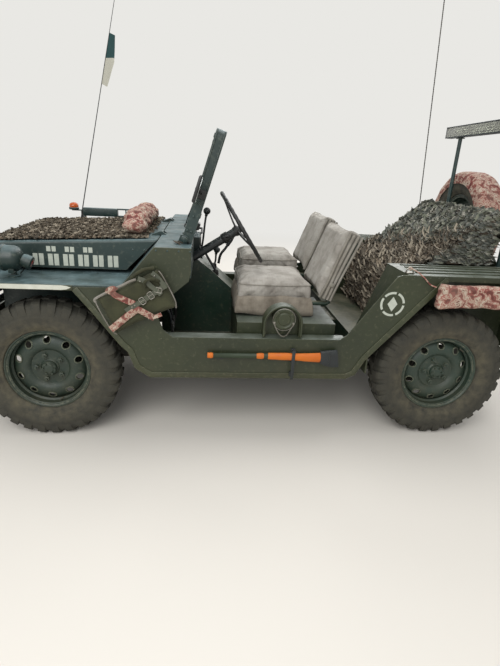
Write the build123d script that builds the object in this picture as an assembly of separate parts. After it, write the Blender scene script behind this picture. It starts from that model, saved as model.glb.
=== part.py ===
from build123d import *
import os
from math import atan, cos, degrees, hypot, radians, sin

os.makedirs("parts", exist_ok=True)

# Light 4x4 army car, in millimetres: front to -X, its right side to +Y, floor at z = 0

# Driving sizes of the running gear
wheelbase = 2159
track = 1346
tyre_radius = 376
tyre_half_width = 92
rim_flange_radius = 219
rim_half_width = 60
kingpin_inset = 63
bumper_overhang = 508
front_overhang = 544
rear_overhang = 692

# Driving sizes of the body
half_width = 791
sheet = 8
sill_bottom = 368
sill_top = 597
sill_depth = 76
floor_top = 398
rear_floor_top = 520
fender_top = 856
fender_inner = 390
deck_top = 957
deck_inner = 476
cowl_top = 1052
hood_half_width = 510
hood_bottom = 876
hood_front_top = 1004
hood_rear_top = 1046
windscreen_half_width = 665
windscreen_rake = 17.2
windscreen_length = 545
windscreen_depth = 52

# Clearances between pieces
seat_gap = 0.3
bore_gap = 0.1

# Datums that the rest is measured from
overall_length = front_overhang + wheelbase + rear_overhang
front_axle_x = front_overhang - overall_length / 2
rear_axle_x = front_axle_x + wheelbase
hub_z = tyre_radius
wheel_y = track / 2
kingpin_y = wheel_y - kingpin_inset
bumper_x = front_axle_x - bumper_overhang
nose_x = bumper_x + 108
slope_foot_x = front_axle_x + 405
slope_head_x = front_axle_x + 568
cowl_rear_x = front_axle_x + 745
door_front_x = front_axle_x + 655
door_rear_x = rear_axle_x - 626
deck_front_x = rear_axle_x - 300
rear_panel_x = rear_axle_x + 481
floor_front_x = front_axle_x + 540
floor_step_x = rear_axle_x - 460
hinge_pin_radius = 9

nodes = {}


def side_plate(points, y_low, y_high):
    """Solid of an XZ outline between two Y planes."""
    wire = Wire.make_polygon([Vector(x, y_low, z) for x, z in points], close=True)
    return extrude(Face(wire), amount=y_high - y_low, dir=(0, 1, 0))


def plan_plate(points, z_low, z_high):
    """Solid of an XY outline between two heights."""
    wire = Wire.make_polygon([Vector(x, y, z_low) for x, y in points], close=True)
    return extrude(Face(wire), amount=z_high - z_low, dir=(0, 0, 1))


def front_plate(points, x_low, x_high):
    """Solid of a YZ outline between two X planes."""
    wire = Wire.make_polygon([Vector(x_low, y, z) for y, z in points], close=True)
    return extrude(Face(wire), amount=x_high - x_low, dir=(1, 0, 0))


def block(x_low, x_high, y_low, y_high, z_low, z_high):
    """Box given by its limits."""
    centre = ((x_low + x_high) / 2, (y_low + y_high) / 2, (z_low + z_high) / 2)
    return Pos(*centre) * Box(x_high - x_low, y_high - y_low, z_high - z_low)


def rod(start, end, radius):
    """Round bar between two points."""
    a = Vector(*start)
    b = Vector(*end)
    plane = Plane(origin=a, z_dir=b - a)
    return plane * Cylinder(radius, (b - a).length, align=(Align.CENTER, Align.CENTER, Align.MIN))


def disc_y(x, y_low, y_high, z, radius):
    """Round bar along Y."""
    return rod((x, y_low, z), (x, y_high, z), radius)


def strip(points, wall):
    """Closed outline of a sheet that follows the points, its thickness to the right."""
    offsets = []
    for i, (x, z) in enumerate(points):
        before = points[max(i - 1, 0)]
        after = points[min(i + 1, len(points) - 1)]
        directions = []
        for a, b in ((before, (x, z)), ((x, z), after)):
            run = hypot(b[0] - a[0], b[1] - a[1])
            if run > 0:
                directions.append(((b[1] - a[1]) / run, -(b[0] - a[0]) / run))
        nx = sum(d[0] for d in directions) / len(directions)
        nz = sum(d[1] for d in directions) / len(directions)
        scale = wall / (nx * nx + nz * nz)
        offsets.append((x + nx * scale, z + nz * scale))
    return list(points) + offsets[::-1]


def mirrored(shape):
    """The same shape on the other side of the car."""
    return mirror(shape, about=Plane.XZ)


def save(name, *shapes):
    """Keep the solids of one node and write them."""
    solids = []
    for shape in shapes:
        solids.extend(shape.solids())
    nodes[name] = solids
    export_step(Compound(children=[Solid(s.wrapped) for s in solids]), f"parts/{name}.step")


# Body sides: outer skin with the sill box, from the front wheel arch to the rear one
arch_front = [(176, 828), (253, 732), (390, 549), (428, 511), (460, 421), (536, sill_bottom)]
arch_rear = [(-569, sill_bottom), (-519, 392), (-471, 483), (-85, 930)]
door_rear = [(-330, deck_top), (-363, 947), (-566, 655), (-590, 622), (-626, sill_top)]
door_front = [(-48, 38), (-72, 101), (-61, 170), (80, 293), (90, 340)]
skin_outline = [(front_axle_x + x, z) for x, z in arch_front]
skin_outline += [(rear_axle_x + x, z) for x, z in arch_rear]
skin_outline += [(rear_axle_x - 85, deck_top)]
skin_outline += [(rear_axle_x + x, z) for x, z in door_rear]
skin_outline += [(door_front_x, sill_top)]
skin_outline += [(door_front_x + x, sill_top + z) for x, z in door_front]
skin_outline += [(cowl_rear_x, cowl_top), (slope_head_x, cowl_top), (slope_foot_x, fender_top)]
skin_outline += [(slope_foot_x, fender_top - sheet), (front_axle_x + 176, fender_top - sheet)]
skin = side_plate(skin_outline, -half_width, -half_width + sheet)
sill_front_x = front_axle_x + 560
sill_rear_x = rear_axle_x - 590
sill = block(sill_front_x, sill_rear_x, -half_width + sheet, -half_width + sill_depth, sill_bottom, sill_top)
sill -= block(sill_front_x + sheet, sill_rear_x - sheet, -half_width + sheet,
              -half_width + sill_depth - sheet, sill_bottom + sheet, sill_top - sheet)
body_side = skin + sill
save("body_sides", body_side, mirrored(body_side))

# Floor pan: front floor between the sills, raised rear floor, and the tall cover over the gearbox
tunnel_half = 150
floor_inner = half_width - sill_depth
floor_rear_x = rear_panel_x - sheet
floor = block(floor_front_x, floor_step_x, -floor_inner, floor_inner, floor_top - sheet, floor_top)
floor += block(floor_step_x - sheet, floor_step_x, -floor_inner, floor_inner, floor_top, rear_floor_top)
floor += block(floor_step_x, floor_rear_x, -deck_inner, deck_inner, rear_floor_top - sheet, rear_floor_top)
tunnel_line = [(floor_front_x, 900), (cowl_rear_x, 892), (front_axle_x + 850, 812),
               (front_axle_x + 980, 700), (front_axle_x + 1100, 600), (front_axle_x + 1500, 500),
               (floor_step_x, 500)]
tunnel_outline = tunnel_line + [(floor_step_x, floor_top - sheet), (floor_front_x, floor_top - sheet)]
tunnel_inside = [(x, z - sheet) for x, z in tunnel_line]
tunnel_inside += [(floor_step_x, floor_top - sheet - 1), (floor_front_x, floor_top - sheet - 1)]
floor += side_plate(tunnel_outline, -tunnel_half, tunnel_half)
floor -= side_plate(tunnel_inside, -tunnel_half + sheet, tunnel_half - sheet)
save("floor_pan", floor)

# Cowl: sloped front, flat top, dash panel, and the firewall with its toe board
cowl_half = half_width - sheet
cowl_line = [(slope_foot_x, fender_top), (slope_head_x, cowl_top), (cowl_rear_x, cowl_top),
             (cowl_rear_x, 905)]
cowl = side_plate(strip(cowl_line, sheet), -cowl_half, cowl_half)
firewall_x = slope_head_x - 34
wall_line = [(firewall_x, cowl_top - 48), (firewall_x, 640), (floor_front_x - 54, 560),
             (floor_front_x - 54, 470), (floor_front_x, floor_top)]
firewall = side_plate(strip(wall_line, -sheet), -floor_inner, floor_inner)
firewall -= block(firewall_x - 200, floor_front_x + 60, -tunnel_half, tunnel_half, 300, 900)
firewall &= block(nose_x, floor_front_x, -half_width, half_width, floor_top - sheet, 1200)
cluster = block(cowl_rear_x, cowl_rear_x + 35, -300, -60, 925, 1035)
hinge_y = windscreen_half_width - 30
pivot_x = front_axle_x + 700
pivot_z = 1080
cowl = cowl + firewall + cluster
for side in (-1, 1):
    y_a = side * hinge_y
    y_b = side * (hinge_y - 14)
    ear = side_plate([(pivot_x - 30, cowl_top), (pivot_x + 30, cowl_top), (pivot_x + 12, pivot_z + 14),
                      (pivot_x - 12, pivot_z + 14)], min(y_a, y_b), max(y_a, y_b))
    pin_end = side * (windscreen_half_width + 4)
    pin = disc_y(pivot_x, min(y_a, pin_end), max(y_a, pin_end), pivot_z, hinge_pin_radius)
    cowl = cowl + ear + pin
save("cowl_panel", cowl)

# Front fenders: flat top, rolled lip, inner apron and the wheelhouse's sloped rear wall
lamp_back_x = nose_x + 84
fender_plan = [(nose_x, -half_width), (slope_foot_x, -half_width), (slope_foot_x, -fender_inner),
               (lamp_back_x, -fender_inner), (lamp_back_x, -hood_half_width), (nose_x, -hood_half_width)]
fender = plan_plate(fender_plan, fender_top - sheet, fender_top)
lip_drop = 28
fender += block(nose_x, front_axle_x + 176, -half_width, -half_width + sheet,
                fender_top - lip_drop, fender_top - sheet)
nose_outline = [(-half_width, fender_top - sheet), (-hood_half_width, fender_top - sheet),
                (-hood_half_width, 640), (-half_width + 130, 640), (-half_width, 740)]
fender += front_plate(nose_outline, nose_x, nose_x + sheet)
apron_top = fender_top - sheet
apron = side_plate([(lamp_back_x, apron_top), (front_axle_x + 176, apron_top), (front_axle_x + 390, 549),
                    (front_axle_x + 428, 511), (front_axle_x - 60, 511), (front_axle_x - 120, 600),
                    (lamp_back_x, 600)], -fender_inner - sheet, -fender_inner)
wall_points = [(front_axle_x + 176, apron_top)]
wall_points += [(front_axle_x + x, z) for x, z in arch_front[1:5]]
wheel_wall = side_plate(strip(wall_points, -sheet), -half_width + sheet, -fender_inner)
fender = fender + apron + wheel_wall
save("front_fenders", fender, mirrored(fender))

# Grille panel: pressed plate with a row of slots and two round lamp openings
lamp_y = hood_half_width - 105
lamp_z = 800
lamp_radius = 92
grille_half = hood_half_width - seat_gap
grille_outline = [(-grille_half, 600), (grille_half, 600), (grille_half, 940),
                  (grille_half - 36, 975), (-grille_half + 36, 975), (-grille_half, 940)]
grille = front_plate(grille_outline, nose_x, nose_x + sheet)
slot_half = hood_half_width - 230
slot_pitch = 36
slot_count = 8
for i in range(slot_count):
    slot_z = 655 + i * slot_pitch
    slot = Pos(nose_x + sheet / 2, 0, slot_z) * Box(3 * sheet, 2 * slot_half, 20)
    grille -= slot
for side in (-1, 1):
    grille -= rod((nose_x - sheet, side * lamp_y, lamp_z), (nose_x + 3 * sheet, side * lamp_y, lamp_z),
                  lamp_radius)
save("grille_panel", grille)

# Rear wheelhouses: ribbed deck, inner wall and front wall of each rear wheel box
deck = plan_plate([(rear_axle_x - 85, -half_width), (floor_rear_x, -half_width), (floor_rear_x, -deck_inner),
                   (deck_front_x, -deck_inner), (deck_front_x, -half_width + sheet),
                   (rear_axle_x - 85, -half_width + sheet)], deck_top - sheet, deck_top)
rib_half = 9
rib_tall = 6
for rib_inset in (71, 141, 211, 271):
    rib_y = -half_width + rib_inset
    deck += block(deck_front_x + 60, rear_panel_x - 60, rib_y - rib_half, rib_y + rib_half,
                  deck_top, deck_top + rib_tall)
deck += block(rear_axle_x - 85, floor_rear_x, -half_width, -half_width + sheet,
              deck_top - lip_drop, deck_top - sheet)
house_low = rear_floor_top - sheet
inner_wall = side_plate([(deck_front_x, deck_top - sheet), (floor_rear_x, deck_top - sheet),
                         (floor_rear_x, house_low), (floor_step_x, house_low)],
                        -deck_inner - sheet, -deck_inner)
front_wall_run = (deck_front_x - floor_step_x) / (deck_top - sheet - house_low)
front_wall_line = [(deck_front_x + front_wall_run * sheet / 2, deck_top - sheet / 2),
                   (floor_step_x, house_low), (floor_step_x, floor_top)]
front_wall = side_plate(strip(front_wall_line, -sheet), -half_width + sheet, -deck_inner - sheet)
front_wall &= block(floor_step_x, rear_panel_x, -half_width, half_width, floor_top, deck_top)
rear_quarter = side_plate([(rear_axle_x + 400, deck_top - lip_drop), (floor_rear_x, deck_top - lip_drop),
                           (floor_rear_x, 480), (rear_axle_x + 440, 480)],
                          -half_width, -half_width + sheet)
house = deck + inner_wall + front_wall + rear_quarter
save("rear_wheelhouses", house, mirrored(house))

# Rear panel with pressed strengthening swages
panel_low = 480
rear_panel = front_plate([(-half_width, panel_low), (half_width, panel_low), (half_width, deck_top),
                          (-half_width, deck_top)], floor_rear_x, rear_panel_x)
save("rear_panel", rear_panel)

# Frame rails under the floor, joined by cross members, with the spring towers
rail_y = 330
rail_half = 34
rail_top = floor_top - sheet
rail_bottom = rail_top - 86
cross_top = rail_bottom + 40
cross_half = 30
diff_ear = 130
spring_seat_z = 440
front_spring_x = front_axle_x + 78
front_cross = (-300, -diff_ear - cross_half, diff_ear + cross_half, 640)
rear_cross = (-430, -diff_ear - cross_half, diff_ear + cross_half, 400)
cross_places = [front_axle_x + x for x in front_cross] + [rear_axle_x + x for x in rear_cross]
rails_front_x = bumper_x + 60
frame_rails = block(rails_front_x, rear_panel_x - 20, rail_y - rail_half, rail_y + rail_half,
                    rail_bottom, rail_top)
frame_rails += block(front_axle_x - 100, front_axle_x + 130, rail_y - rail_half, rail_y + rail_half,
                     rail_top, 500)
frame_rails += block(front_spring_x - 50, front_spring_x + 50, rail_y, rail_y + 170,
                     spring_seat_z, spring_seat_z + sheet)
frame_rails += block(rear_axle_x - 175, rear_axle_x - 85, rail_y, rail_y + 240, rail_top - sheet, rail_top)
frame_rails += mirrored(frame_rails)
for x in cross_places:
    frame_rails += block(x - cross_half, x + cross_half, -rail_y, rail_y, rail_bottom, cross_top)
save("frame_rails", frame_rails)

# Front bumper: channel on two brackets, with lifting shackles
bumper_z = 500
bumper_half = 690
bumper_tall = 110
bumper_deep = 60
eye_half = 10
eye_bore = 11
bumper = block(bumper_x, bumper_x + bumper_deep, -bumper_half, bumper_half,
               bumper_z - bumper_tall / 2, bumper_z + bumper_tall / 2)
bumper -= block(bumper_x + sheet, bumper_x + bumper_deep + 1, -bumper_half - 1, bumper_half + 1,
                bumper_z - bumper_tall / 2 + sheet, bumper_z + bumper_tall / 2 - sheet)
for side in (-1, 1):
    y = side * rail_y
    bumper += block(bumper_x + sheet, rails_front_x + 90, y - rail_half, y + rail_half,
                    rail_top, bumper_z + bumper_tall / 2 - sheet)
    eye = block(bumper_x - 12, bumper_x + 4, y - eye_half, y + eye_half, bumper_z - 28, bumper_z + 28)
    eye += disc_y(bumper_x - 12, y - eye_half, y + eye_half, bumper_z, front_overhang - bumper_overhang - 12)
    bumper += eye - disc_y(bumper_x - 12, y - eye_half - 1, y + eye_half + 1, bumper_z, eye_bore)
save("front_bumper", bumper)

# Engine, radiator and gearbox as plain masses at their real places
engine_rear_x = front_axle_x + 460
engine = block(front_axle_x - 40, engine_rear_x, -170, 170, 510, 835)
engine += block(front_axle_x - 10, front_axle_x + 380, -90, 60, 835, 930)
engine += block(front_axle_x + 150, engine_rear_x, -rail_y + rail_half, rail_y - rail_half, 480, 510)
engine += block(front_axle_x + 150, engine_rear_x - 60, -130, 130, cross_top + 30, 480)
save("engine_block", engine)
radiator = block(nose_x + 70, nose_x + 130, -270, 270, 560, 940)
radiator += block(nose_x + 60, nose_x + 140, -220, 220, 940, 962)
radiator += block(nose_x + 80, nose_x + 120, -rail_y + rail_half, rail_y - rail_half, cross_top, 560)
save("radiator", radiator)
gearbox_rear_x = front_axle_x + 1060
gearbox = block(engine_rear_x + seat_gap, front_axle_x + 800, -110, 110, 480, 780)
gearbox += block(front_axle_x + 800, gearbox_rear_x, -120, 100, 410, 560)
gearbox += block(front_axle_x + 612, front_axle_x + 668, -60, 60, cross_top, 480)
save("gearbox", gearbox)

# Differentials at both axles, on ears between two cross members
diff_radius = 110
shaft_flange_y = 150


def differential(x):
    housing = Pos(x, 0, hub_z) * Sphere(diff_radius)
    housing &= block(x - 200, x + 200, -95, 95, 0, 900)
    housing += disc_y(x, -shaft_flange_y, shaft_flange_y, hub_z, 52)
    housing += block(x - diff_ear, x + diff_ear, -60, 60, cross_top - 30, cross_top)
    return housing


save("differentials", differential(front_axle_x), differential(rear_axle_x))

# Drive shafts: half shafts to the wheels and the propeller shafts along the car
shafts = []
half_shaft_radius = 17
boot_radius = 28
boot_y = kingpin_y - 55
for side in (-1, 1):
    inner = side * (shaft_flange_y + seat_gap)
    front = rod((front_axle_x, inner, hub_z), (front_axle_x, side * boot_y, hub_z), half_shaft_radius)
    front += Pos(front_axle_x, side * boot_y, hub_z) * Sphere(boot_radius)
    rear = rod((rear_axle_x, inner, hub_z), (rear_axle_x, side * (kingpin_y - 24), hub_z),
               half_shaft_radius)
    shafts += [front, rear]
prop_front_x = gearbox_rear_x + seat_gap
prop_rear_x = rear_axle_x - diff_radius - seat_gap
prop_z = hub_z + 60
prop = rod((prop_front_x, 0, prop_z), (prop_front_x + 30, 0, prop_z), 40)
prop += rod((prop_front_x + 30, 0, prop_z), (prop_rear_x - 30, 0, hub_z), 26)
prop += rod((prop_rear_x - 34, 0, hub_z), (prop_rear_x, 0, hub_z), 28)
shafts.append(prop)
shaft_bore = disc_y(0, -600, 600, 0, half_shaft_radius + 6)
save("drive_shafts", *shafts)
frame_rails -= Pos(front_axle_x, 0, hub_z) * shaft_bore
frame_rails -= Pos(rear_axle_x, 0, hub_z) * shaft_bore
save("frame_rails", frame_rails)

# Front and rear suspension arms, and their coil springs
lower_z = hub_z - 95
upper_z = hub_z + 100
arm_tall = 24
pad = 26
arm_root_y = rail_y + rail_half
arms = []
springs = []
spring_radius = 44
front_spring_y = 440
rear_spring_x = rear_axle_x - 130
rear_spring_y = 525
carrier_low_y = kingpin_y - 22
carrier_high_y = kingpin_y + 12
lower = plan_plate([(front_axle_x - 170, arm_root_y), (front_axle_x + 170, arm_root_y),
                    (front_axle_x + pad, kingpin_y), (front_axle_x - pad, kingpin_y)],
                   lower_z - arm_tall, lower_z)
lower += block(front_axle_x - 170, front_axle_x + 170, arm_root_y - 50, arm_root_y,
               lower_z - arm_tall, rail_bottom)
upper = plan_plate([(front_axle_x - 95, arm_root_y), (front_axle_x + 95, arm_root_y),
                    (front_axle_x + pad, kingpin_y), (front_axle_x - pad, kingpin_y)],
                   upper_z, upper_z + arm_tall)
trailing = plan_plate([(rear_axle_x - 460, arm_root_y - 50), (rear_axle_x - 400, arm_root_y - 50),
                       (rear_axle_x - 60, carrier_low_y - 30), (rear_axle_x + 40, carrier_low_y - 30),
                       (rear_axle_x + 40, carrier_high_y), (rear_axle_x - 160, carrier_high_y)],
                      rail_bottom - arm_tall, rail_bottom)
spindle_radius = 20
drum_inner_y = wheel_y - 48
spindle_end_y = wheel_y - 12
rear_carrier = block(rear_axle_x - 38, rear_axle_x + 38, carrier_low_y, carrier_high_y,
                     rail_bottom, hub_z + 60)
rear_carrier += disc_y(rear_axle_x, carrier_high_y, spindle_end_y, hub_z, spindle_radius)
front_spring = rod((front_spring_x, front_spring_y, lower_z + seat_gap),
                   (front_spring_x, front_spring_y, spring_seat_z - seat_gap), spring_radius)
rear_spring = rod((rear_spring_x, rear_spring_y, rail_bottom + seat_gap),
                  (rear_spring_x, rear_spring_y, rail_top - sheet - seat_gap), spring_radius)
arms = [lower, upper, trailing + rear_carrier]
save("suspension_arms", *arms, *[mirrored(a) for a in arms])
save("coil_springs", front_spring, rear_spring, mirrored(front_spring), mirrored(rear_spring))

# Exhaust: pipe, silencer and tail pipe along the right side, hung from a cross member
exhaust_y = 215
exhaust_z = 276
exhaust = rod((front_axle_x + 250, exhaust_y, exhaust_z), (rear_axle_x + 430, exhaust_y, exhaust_z), 22)
silencer = rod((front_axle_x + 900, exhaust_y, exhaust_z), (front_axle_x + 1350, exhaust_y, exhaust_z), 55)
exhaust += silencer
for x in (front_axle_x + 640, rear_axle_x - 430, rear_axle_x + 400):
    exhaust += block(x - 12, x + 12, exhaust_y - 8, exhaust_y + 8, exhaust_z, rail_bottom)
save("exhaust_pipe", exhaust)

# Fuel tank box under the driver's seat, with its filler in an arched guard
tank_top = 655
tank_front_x = front_axle_x + 990
tank_rear_x = front_axle_x + 1526
tank_outer_y = -floor_inner + 12
tank = block(tank_front_x, tank_rear_x, tank_outer_y, -tunnel_half - 10, floor_top, tank_top)
guard_x = front_axle_x + 1225
guard_radius = 103
guard_z = 668
guard_low = sill_top + 2
guard_wall = 14
guard_outer_y = -half_width + 21
cap_outer_y = guard_outer_y - 13
cap_z = guard_z + 36
guard = disc_y(guard_x, guard_outer_y, tank_outer_y, guard_z, guard_radius)
guard &= block(guard_x - 200, guard_x + 200, guard_outer_y - 30, 0, guard_z, guard_z + 232)
guard += block(guard_x - guard_radius, guard_x + guard_radius, guard_outer_y, tank_outer_y, guard_low,
               guard_z)
guard -= disc_y(guard_x, guard_outer_y - 1, tank_outer_y - 20, guard_z, guard_radius - guard_wall)
guard -= block(guard_x - guard_radius + guard_wall, guard_x + guard_radius - guard_wall,
               guard_outer_y - 1, tank_outer_y - 20, guard_low - 1, guard_z)
cap = disc_y(guard_x, cap_outer_y, tank_outer_y - 10, cap_z, 55)
tank = tank + guard + cap
save("fuel_tank", tank)

# Seats: tube frames, cushions and the rear bench
seat_y = 365
seat_half = 225
seat_front_x = front_axle_x + 985
seat_rear_x = front_axle_x + 1440
cushion_low = 742
cushion_high = 850
back_lean = 21
back_foot_x = front_axle_x + 1432
back_foot_z = 775
back_tall = 410
back_deep = 78
frame_radius = 13


def back_tube_x(tube_z, foot_x, foot_z, deep, lean, radius):
    """Station at height tube_z of a tube that lies along the rear face of a leaning back."""
    reach = deep + radius + seat_gap
    climb = (tube_z - foot_z + reach * sin(lean)) / cos(lean)
    return foot_x + reach * cos(lean) + climb * sin(lean)


def seat_frame(y, floor_z, shift):
    """Tube frame of one front seat, its legs on the floor or on the tank."""
    tube_z = cushion_low - frame_radius - seat_gap
    lean = radians(back_lean)
    knee_x = back_tube_x(tube_z, back_foot_x + shift, back_foot_z, back_deep, lean, frame_radius)
    front_x = seat_front_x + 60 + shift
    cross_x = back_foot_x - 30 + shift
    tube_tall = back_tall - 40
    frame = rod((cross_x, y - seat_half + 40, tube_z), (cross_x, y + seat_half - 40, tube_z), frame_radius)
    for side in (-1, 1):
        y_tube = y + side * (seat_half - 40)
        frame += rod((front_x, y_tube, floor_z), (front_x, y_tube, tube_z), frame_radius)
        frame += rod((front_x, y_tube, tube_z), (knee_x, y_tube, tube_z), frame_radius)
        frame += rod((cross_x, y_tube, floor_z), (cross_x, y_tube, tube_z), frame_radius)
        frame += rod((knee_x, y_tube, tube_z),
                     (knee_x + tube_tall * sin(lean), y_tube, tube_z + tube_tall * cos(lean)), frame_radius)
    return frame


passenger_shift = 60
driver_frame = seat_frame(-seat_y, tank_top, 0)
passenger_frame = seat_frame(seat_y, floor_top, passenger_shift)
bench_front_x = front_axle_x + 1985
bench_rear_x = front_axle_x + 2330
bench_half = 430
bench_low = 760
bench_high = 862
bench_frame = block(bench_front_x + 20, bench_rear_x + 60, -bench_half + 30, -bench_half + 60,
                    rear_floor_top, bench_low - seat_gap)
bench_back_x = bench_rear_x + 8
bench_back_z = bench_low + 30
bench_back_deep = 80
bench_lean = 17
bench_tube_z = bench_low - 20
bench_tube_x = back_tube_x(bench_tube_z, bench_back_x, bench_back_z, bench_back_deep,
                           radians(bench_lean), frame_radius)
bench_frame += block(bench_rear_x + 60, bench_tube_x, -bench_half + 30, -bench_half + 60,
                     bench_low - 40, bench_low - seat_gap)
bench_tube_y = -bench_half + 45
bench_frame += rod((bench_tube_x, bench_tube_y, bench_tube_z),
                   (bench_tube_x + 330 * sin(radians(bench_lean)), bench_tube_y,
                    bench_tube_z + 330 * cos(radians(bench_lean))), frame_radius)
bench_frame += mirrored(bench_frame)
bench_frame += block(bench_front_x + 20, bench_front_x + 50, -bench_half + 60, bench_half - 60,
                     bench_low - 40, bench_low - seat_gap)
save("seat_frames", driver_frame, passenger_frame, bench_frame)


def back_cushion(y, half, foot_x, foot_z, tall, deep, lean):
    pad_box = Box(deep, 2 * half, tall, align=(Align.MIN, Align.CENTER, Align.MIN))
    pad_box = fillet(pad_box.edges().filter_by(Axis.Y), 22)
    return Pos(foot_x, y, foot_z) * Rot(0, lean, 0) * pad_box


def flat_cushion(y, half, x_low, x_high, z_low, z_high):
    pad_box = block(x_low, x_high, y - half, y + half, z_low, z_high)
    return fillet(pad_box.edges().filter_by(Axis.Y), 30)


cushions = []
for side, shift in ((-1, 0), (1, passenger_shift)):
    y = side * seat_y
    cushions.append(flat_cushion(y, seat_half, seat_front_x + shift, seat_rear_x + shift - 20,
                                 cushion_low, cushion_high))
    cushions.append(back_cushion(y, seat_half, back_foot_x + shift, back_foot_z, back_tall,
                                 back_deep, back_lean))
save("seat_cushions", *cushions)
bench_seat = flat_cushion(0, bench_half, bench_front_x, bench_rear_x - 10, bench_low, bench_high)
bench_back = back_cushion(0, bench_half, bench_back_x, bench_back_z, 420, bench_back_deep, bench_lean)
save("bench_cushions", bench_seat, bench_back)
cover_line = [(2565, 1100), (2500, 1252), (2470, 1262), (2325, 1148), (2172, 1008), (2039, 938),
              (1962, 885), (1948, 783), (1948, rear_floor_top + seat_gap)]
cover_wall = 14
cover = side_plate(strip([(front_axle_x + x, z) for x, z in cover_line], cover_wall), -455, 455)
save("bench_cover", cover)

# Wheels: tyre, pressed rim with ten holes, five nuts, and the brake drum behind it
bead_radius = 203
rim_wall = 6
drum_radius = 140
stud_circle = 69.85
stud_count = 5
hole_count = 10
hole_circle = 163
hole_radius = 17
bead_gap = 0.3
spin_gap = 0.05


def tyre(x, y, z, axis_angle):
    """Tyre ring about its own axle line, turned by axis_angle about Z."""
    inner = bead_radius + bead_gap
    well = rim_half_width - rim_wall - bead_gap
    half = [(well, inner), (well, rim_flange_radius + 1), (rim_half_width + 8, rim_flange_radius + 1),
            (80, 262), (tyre_half_width, 300), (88, 338), (tyre_half_width - 12, tyre_radius - 12),
            (tyre_half_width - 24, tyre_radius)]
    outline = half + [(-s, r) for s, r in half[::-1]]
    face = Face(Wire.make_polygon([Vector(0, s, r) for s, r in outline], close=True))
    ring = revolve(face, Axis.Y, 360)
    return Pos(x, y, z) * Rot(0, 0, axis_angle) * ring


def rim(x, y, z, axis_angle, with_drum):
    """Rim and disc; +Y is the outer side before the turn about Z."""
    barrel = [(-rim_half_width, rim_flange_radius), (-rim_half_width + rim_wall, rim_flange_radius),
              (-rim_half_width + rim_wall, bead_radius), (rim_half_width - rim_wall, bead_radius),
              (rim_half_width - rim_wall, rim_flange_radius), (rim_half_width, rim_flange_radius),
              (rim_half_width, bead_radius - rim_wall), (-rim_half_width, bead_radius - rim_wall)]
    disc = [(-14, 198), (0, 190), (26, 150), (34, 124), (22, 104), (14, 98), (14, 30), (6, 30),
            (6, 104), (14, 110), (24, 124), (17, 148), (-9, 186), (-20, 198)]
    shapes = []
    for outline in (barrel, disc):
        face = Face(Wire.make_polygon([Vector(0, s, r) for s, r in outline], close=True))
        shapes.append(revolve(face, Axis.Y, 360))
    wheel = shapes[0] + shapes[1]
    for i in range(hole_count):
        turn = Rot(0, 360 / hole_count * (i + 0.5), 0)
        wheel -= turn * Pos(0, 0, hole_circle) * Rot(90, 0, 0) * Cylinder(hole_radius, 160)
    for i in range(stud_count):
        turn = Rot(0, 360 / stud_count * i, 0)
        nut = extrude(RegularPolygon(15, 6), amount=20)
        wheel += turn * Pos(0, 14, stud_circle) * Rot(-90, 0, 0) * nut
    wheel += disc_y(0, 0, 44, 0, 34)
    if with_drum:
        drum = disc_y(0, -44, -14, 0, drum_radius) + disc_y(0, -14, 6, 0, 92)
        wheel += drum - disc_y(0, -45, -8, 0, spindle_radius + spin_gap)
    else:
        wheel += disc_y(0, 0, 14, 0, 60)
    return Pos(x, y, z) * Rot(0, 0, axis_angle) * wheel


wheel_places = {"fl": (front_axle_x, -1), "fr": (front_axle_x, 1), "rl": (rear_axle_x, -1),
                "rr": (rear_axle_x, 1)}
for name, (x, side) in wheel_places.items():
    turn = 0 if side > 0 else 180
    save("tyre_" + name, tyre(x, side * wheel_y, hub_z, turn))
    save("rim_" + name, rim(x, side * wheel_y, hub_z, turn, True))

# Knuckles: upright between the two arms, with the spindle that carries the wheel
knuckle_gap = 0.3
kingpin_radius = 14
for name, side in (("left", -1), ("right", 1)):
    y_out = side * (kingpin_y + 12)
    plate_a, plate_b = min(side * (kingpin_y + 2), y_out), max(side * (kingpin_y + 2), y_out)
    knuckle = block(front_axle_x - 36, front_axle_x + 36, plate_a, plate_b,
                    lower_z + knuckle_gap, upper_z - knuckle_gap)
    for z_low, z_high in ((lower_z + knuckle_gap, lower_z + 40), (upper_z - 40, upper_z - knuckle_gap)):
        knuckle += rod((front_axle_x, side * kingpin_y, z_low), (front_axle_x, side * kingpin_y, z_high),
                       kingpin_radius)
    end = side * spindle_end_y
    knuckle += disc_y(front_axle_x, min(y_out, end), max(y_out, end), hub_z, spindle_radius)
    save("knuckle_" + name, knuckle)

# Hood: one pressed lid with deep sides, on two strap hinges at its rear edge
hood_wall = 6
hood_front_x = nose_x + 14
hood_rear_x = slope_head_x - 10
crown_x = nose_x + 120
hood_slope = (hood_rear_top - hood_front_top) / (hood_rear_x - crown_x)
hood_side = [(hood_front_x, hood_bottom + 34), (hood_front_x, hood_front_top - 34),
             (hood_front_x + 40, hood_front_top - 8), (crown_x, hood_front_top),
             (hood_rear_x, hood_rear_top), (hood_rear_x - 170, hood_bottom), (hood_front_x + 30, hood_bottom)]
hood = side_plate(hood_side, -hood_half_width, hood_half_width)
hood_core = side_plate([(hood_front_x + hood_wall, hood_bottom - 1), (hood_front_x + hood_wall, hood_front_top - 38),
                        (hood_front_x + 42, hood_front_top - 8 - hood_wall), (crown_x, hood_front_top - hood_wall),
                        (hood_rear_x, hood_rear_top - hood_wall), (hood_rear_x, hood_bottom - 1)],
                       -hood_half_width + hood_wall, hood_half_width - hood_wall)
top_edges = [e for e in hood.edges().filter_by(lambda e: abs(abs(e.center().Y) - hood_half_width) < 1)
             if e.center().Z > hood_front_top - 10 and e.length > 200]
hood = fillet(top_edges, 16)
hood -= hood_core


def hood_z(x):
    """Height of the hood's top behind its crown line."""
    return hood_front_top + hood_slope * (x - crown_x)


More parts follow.
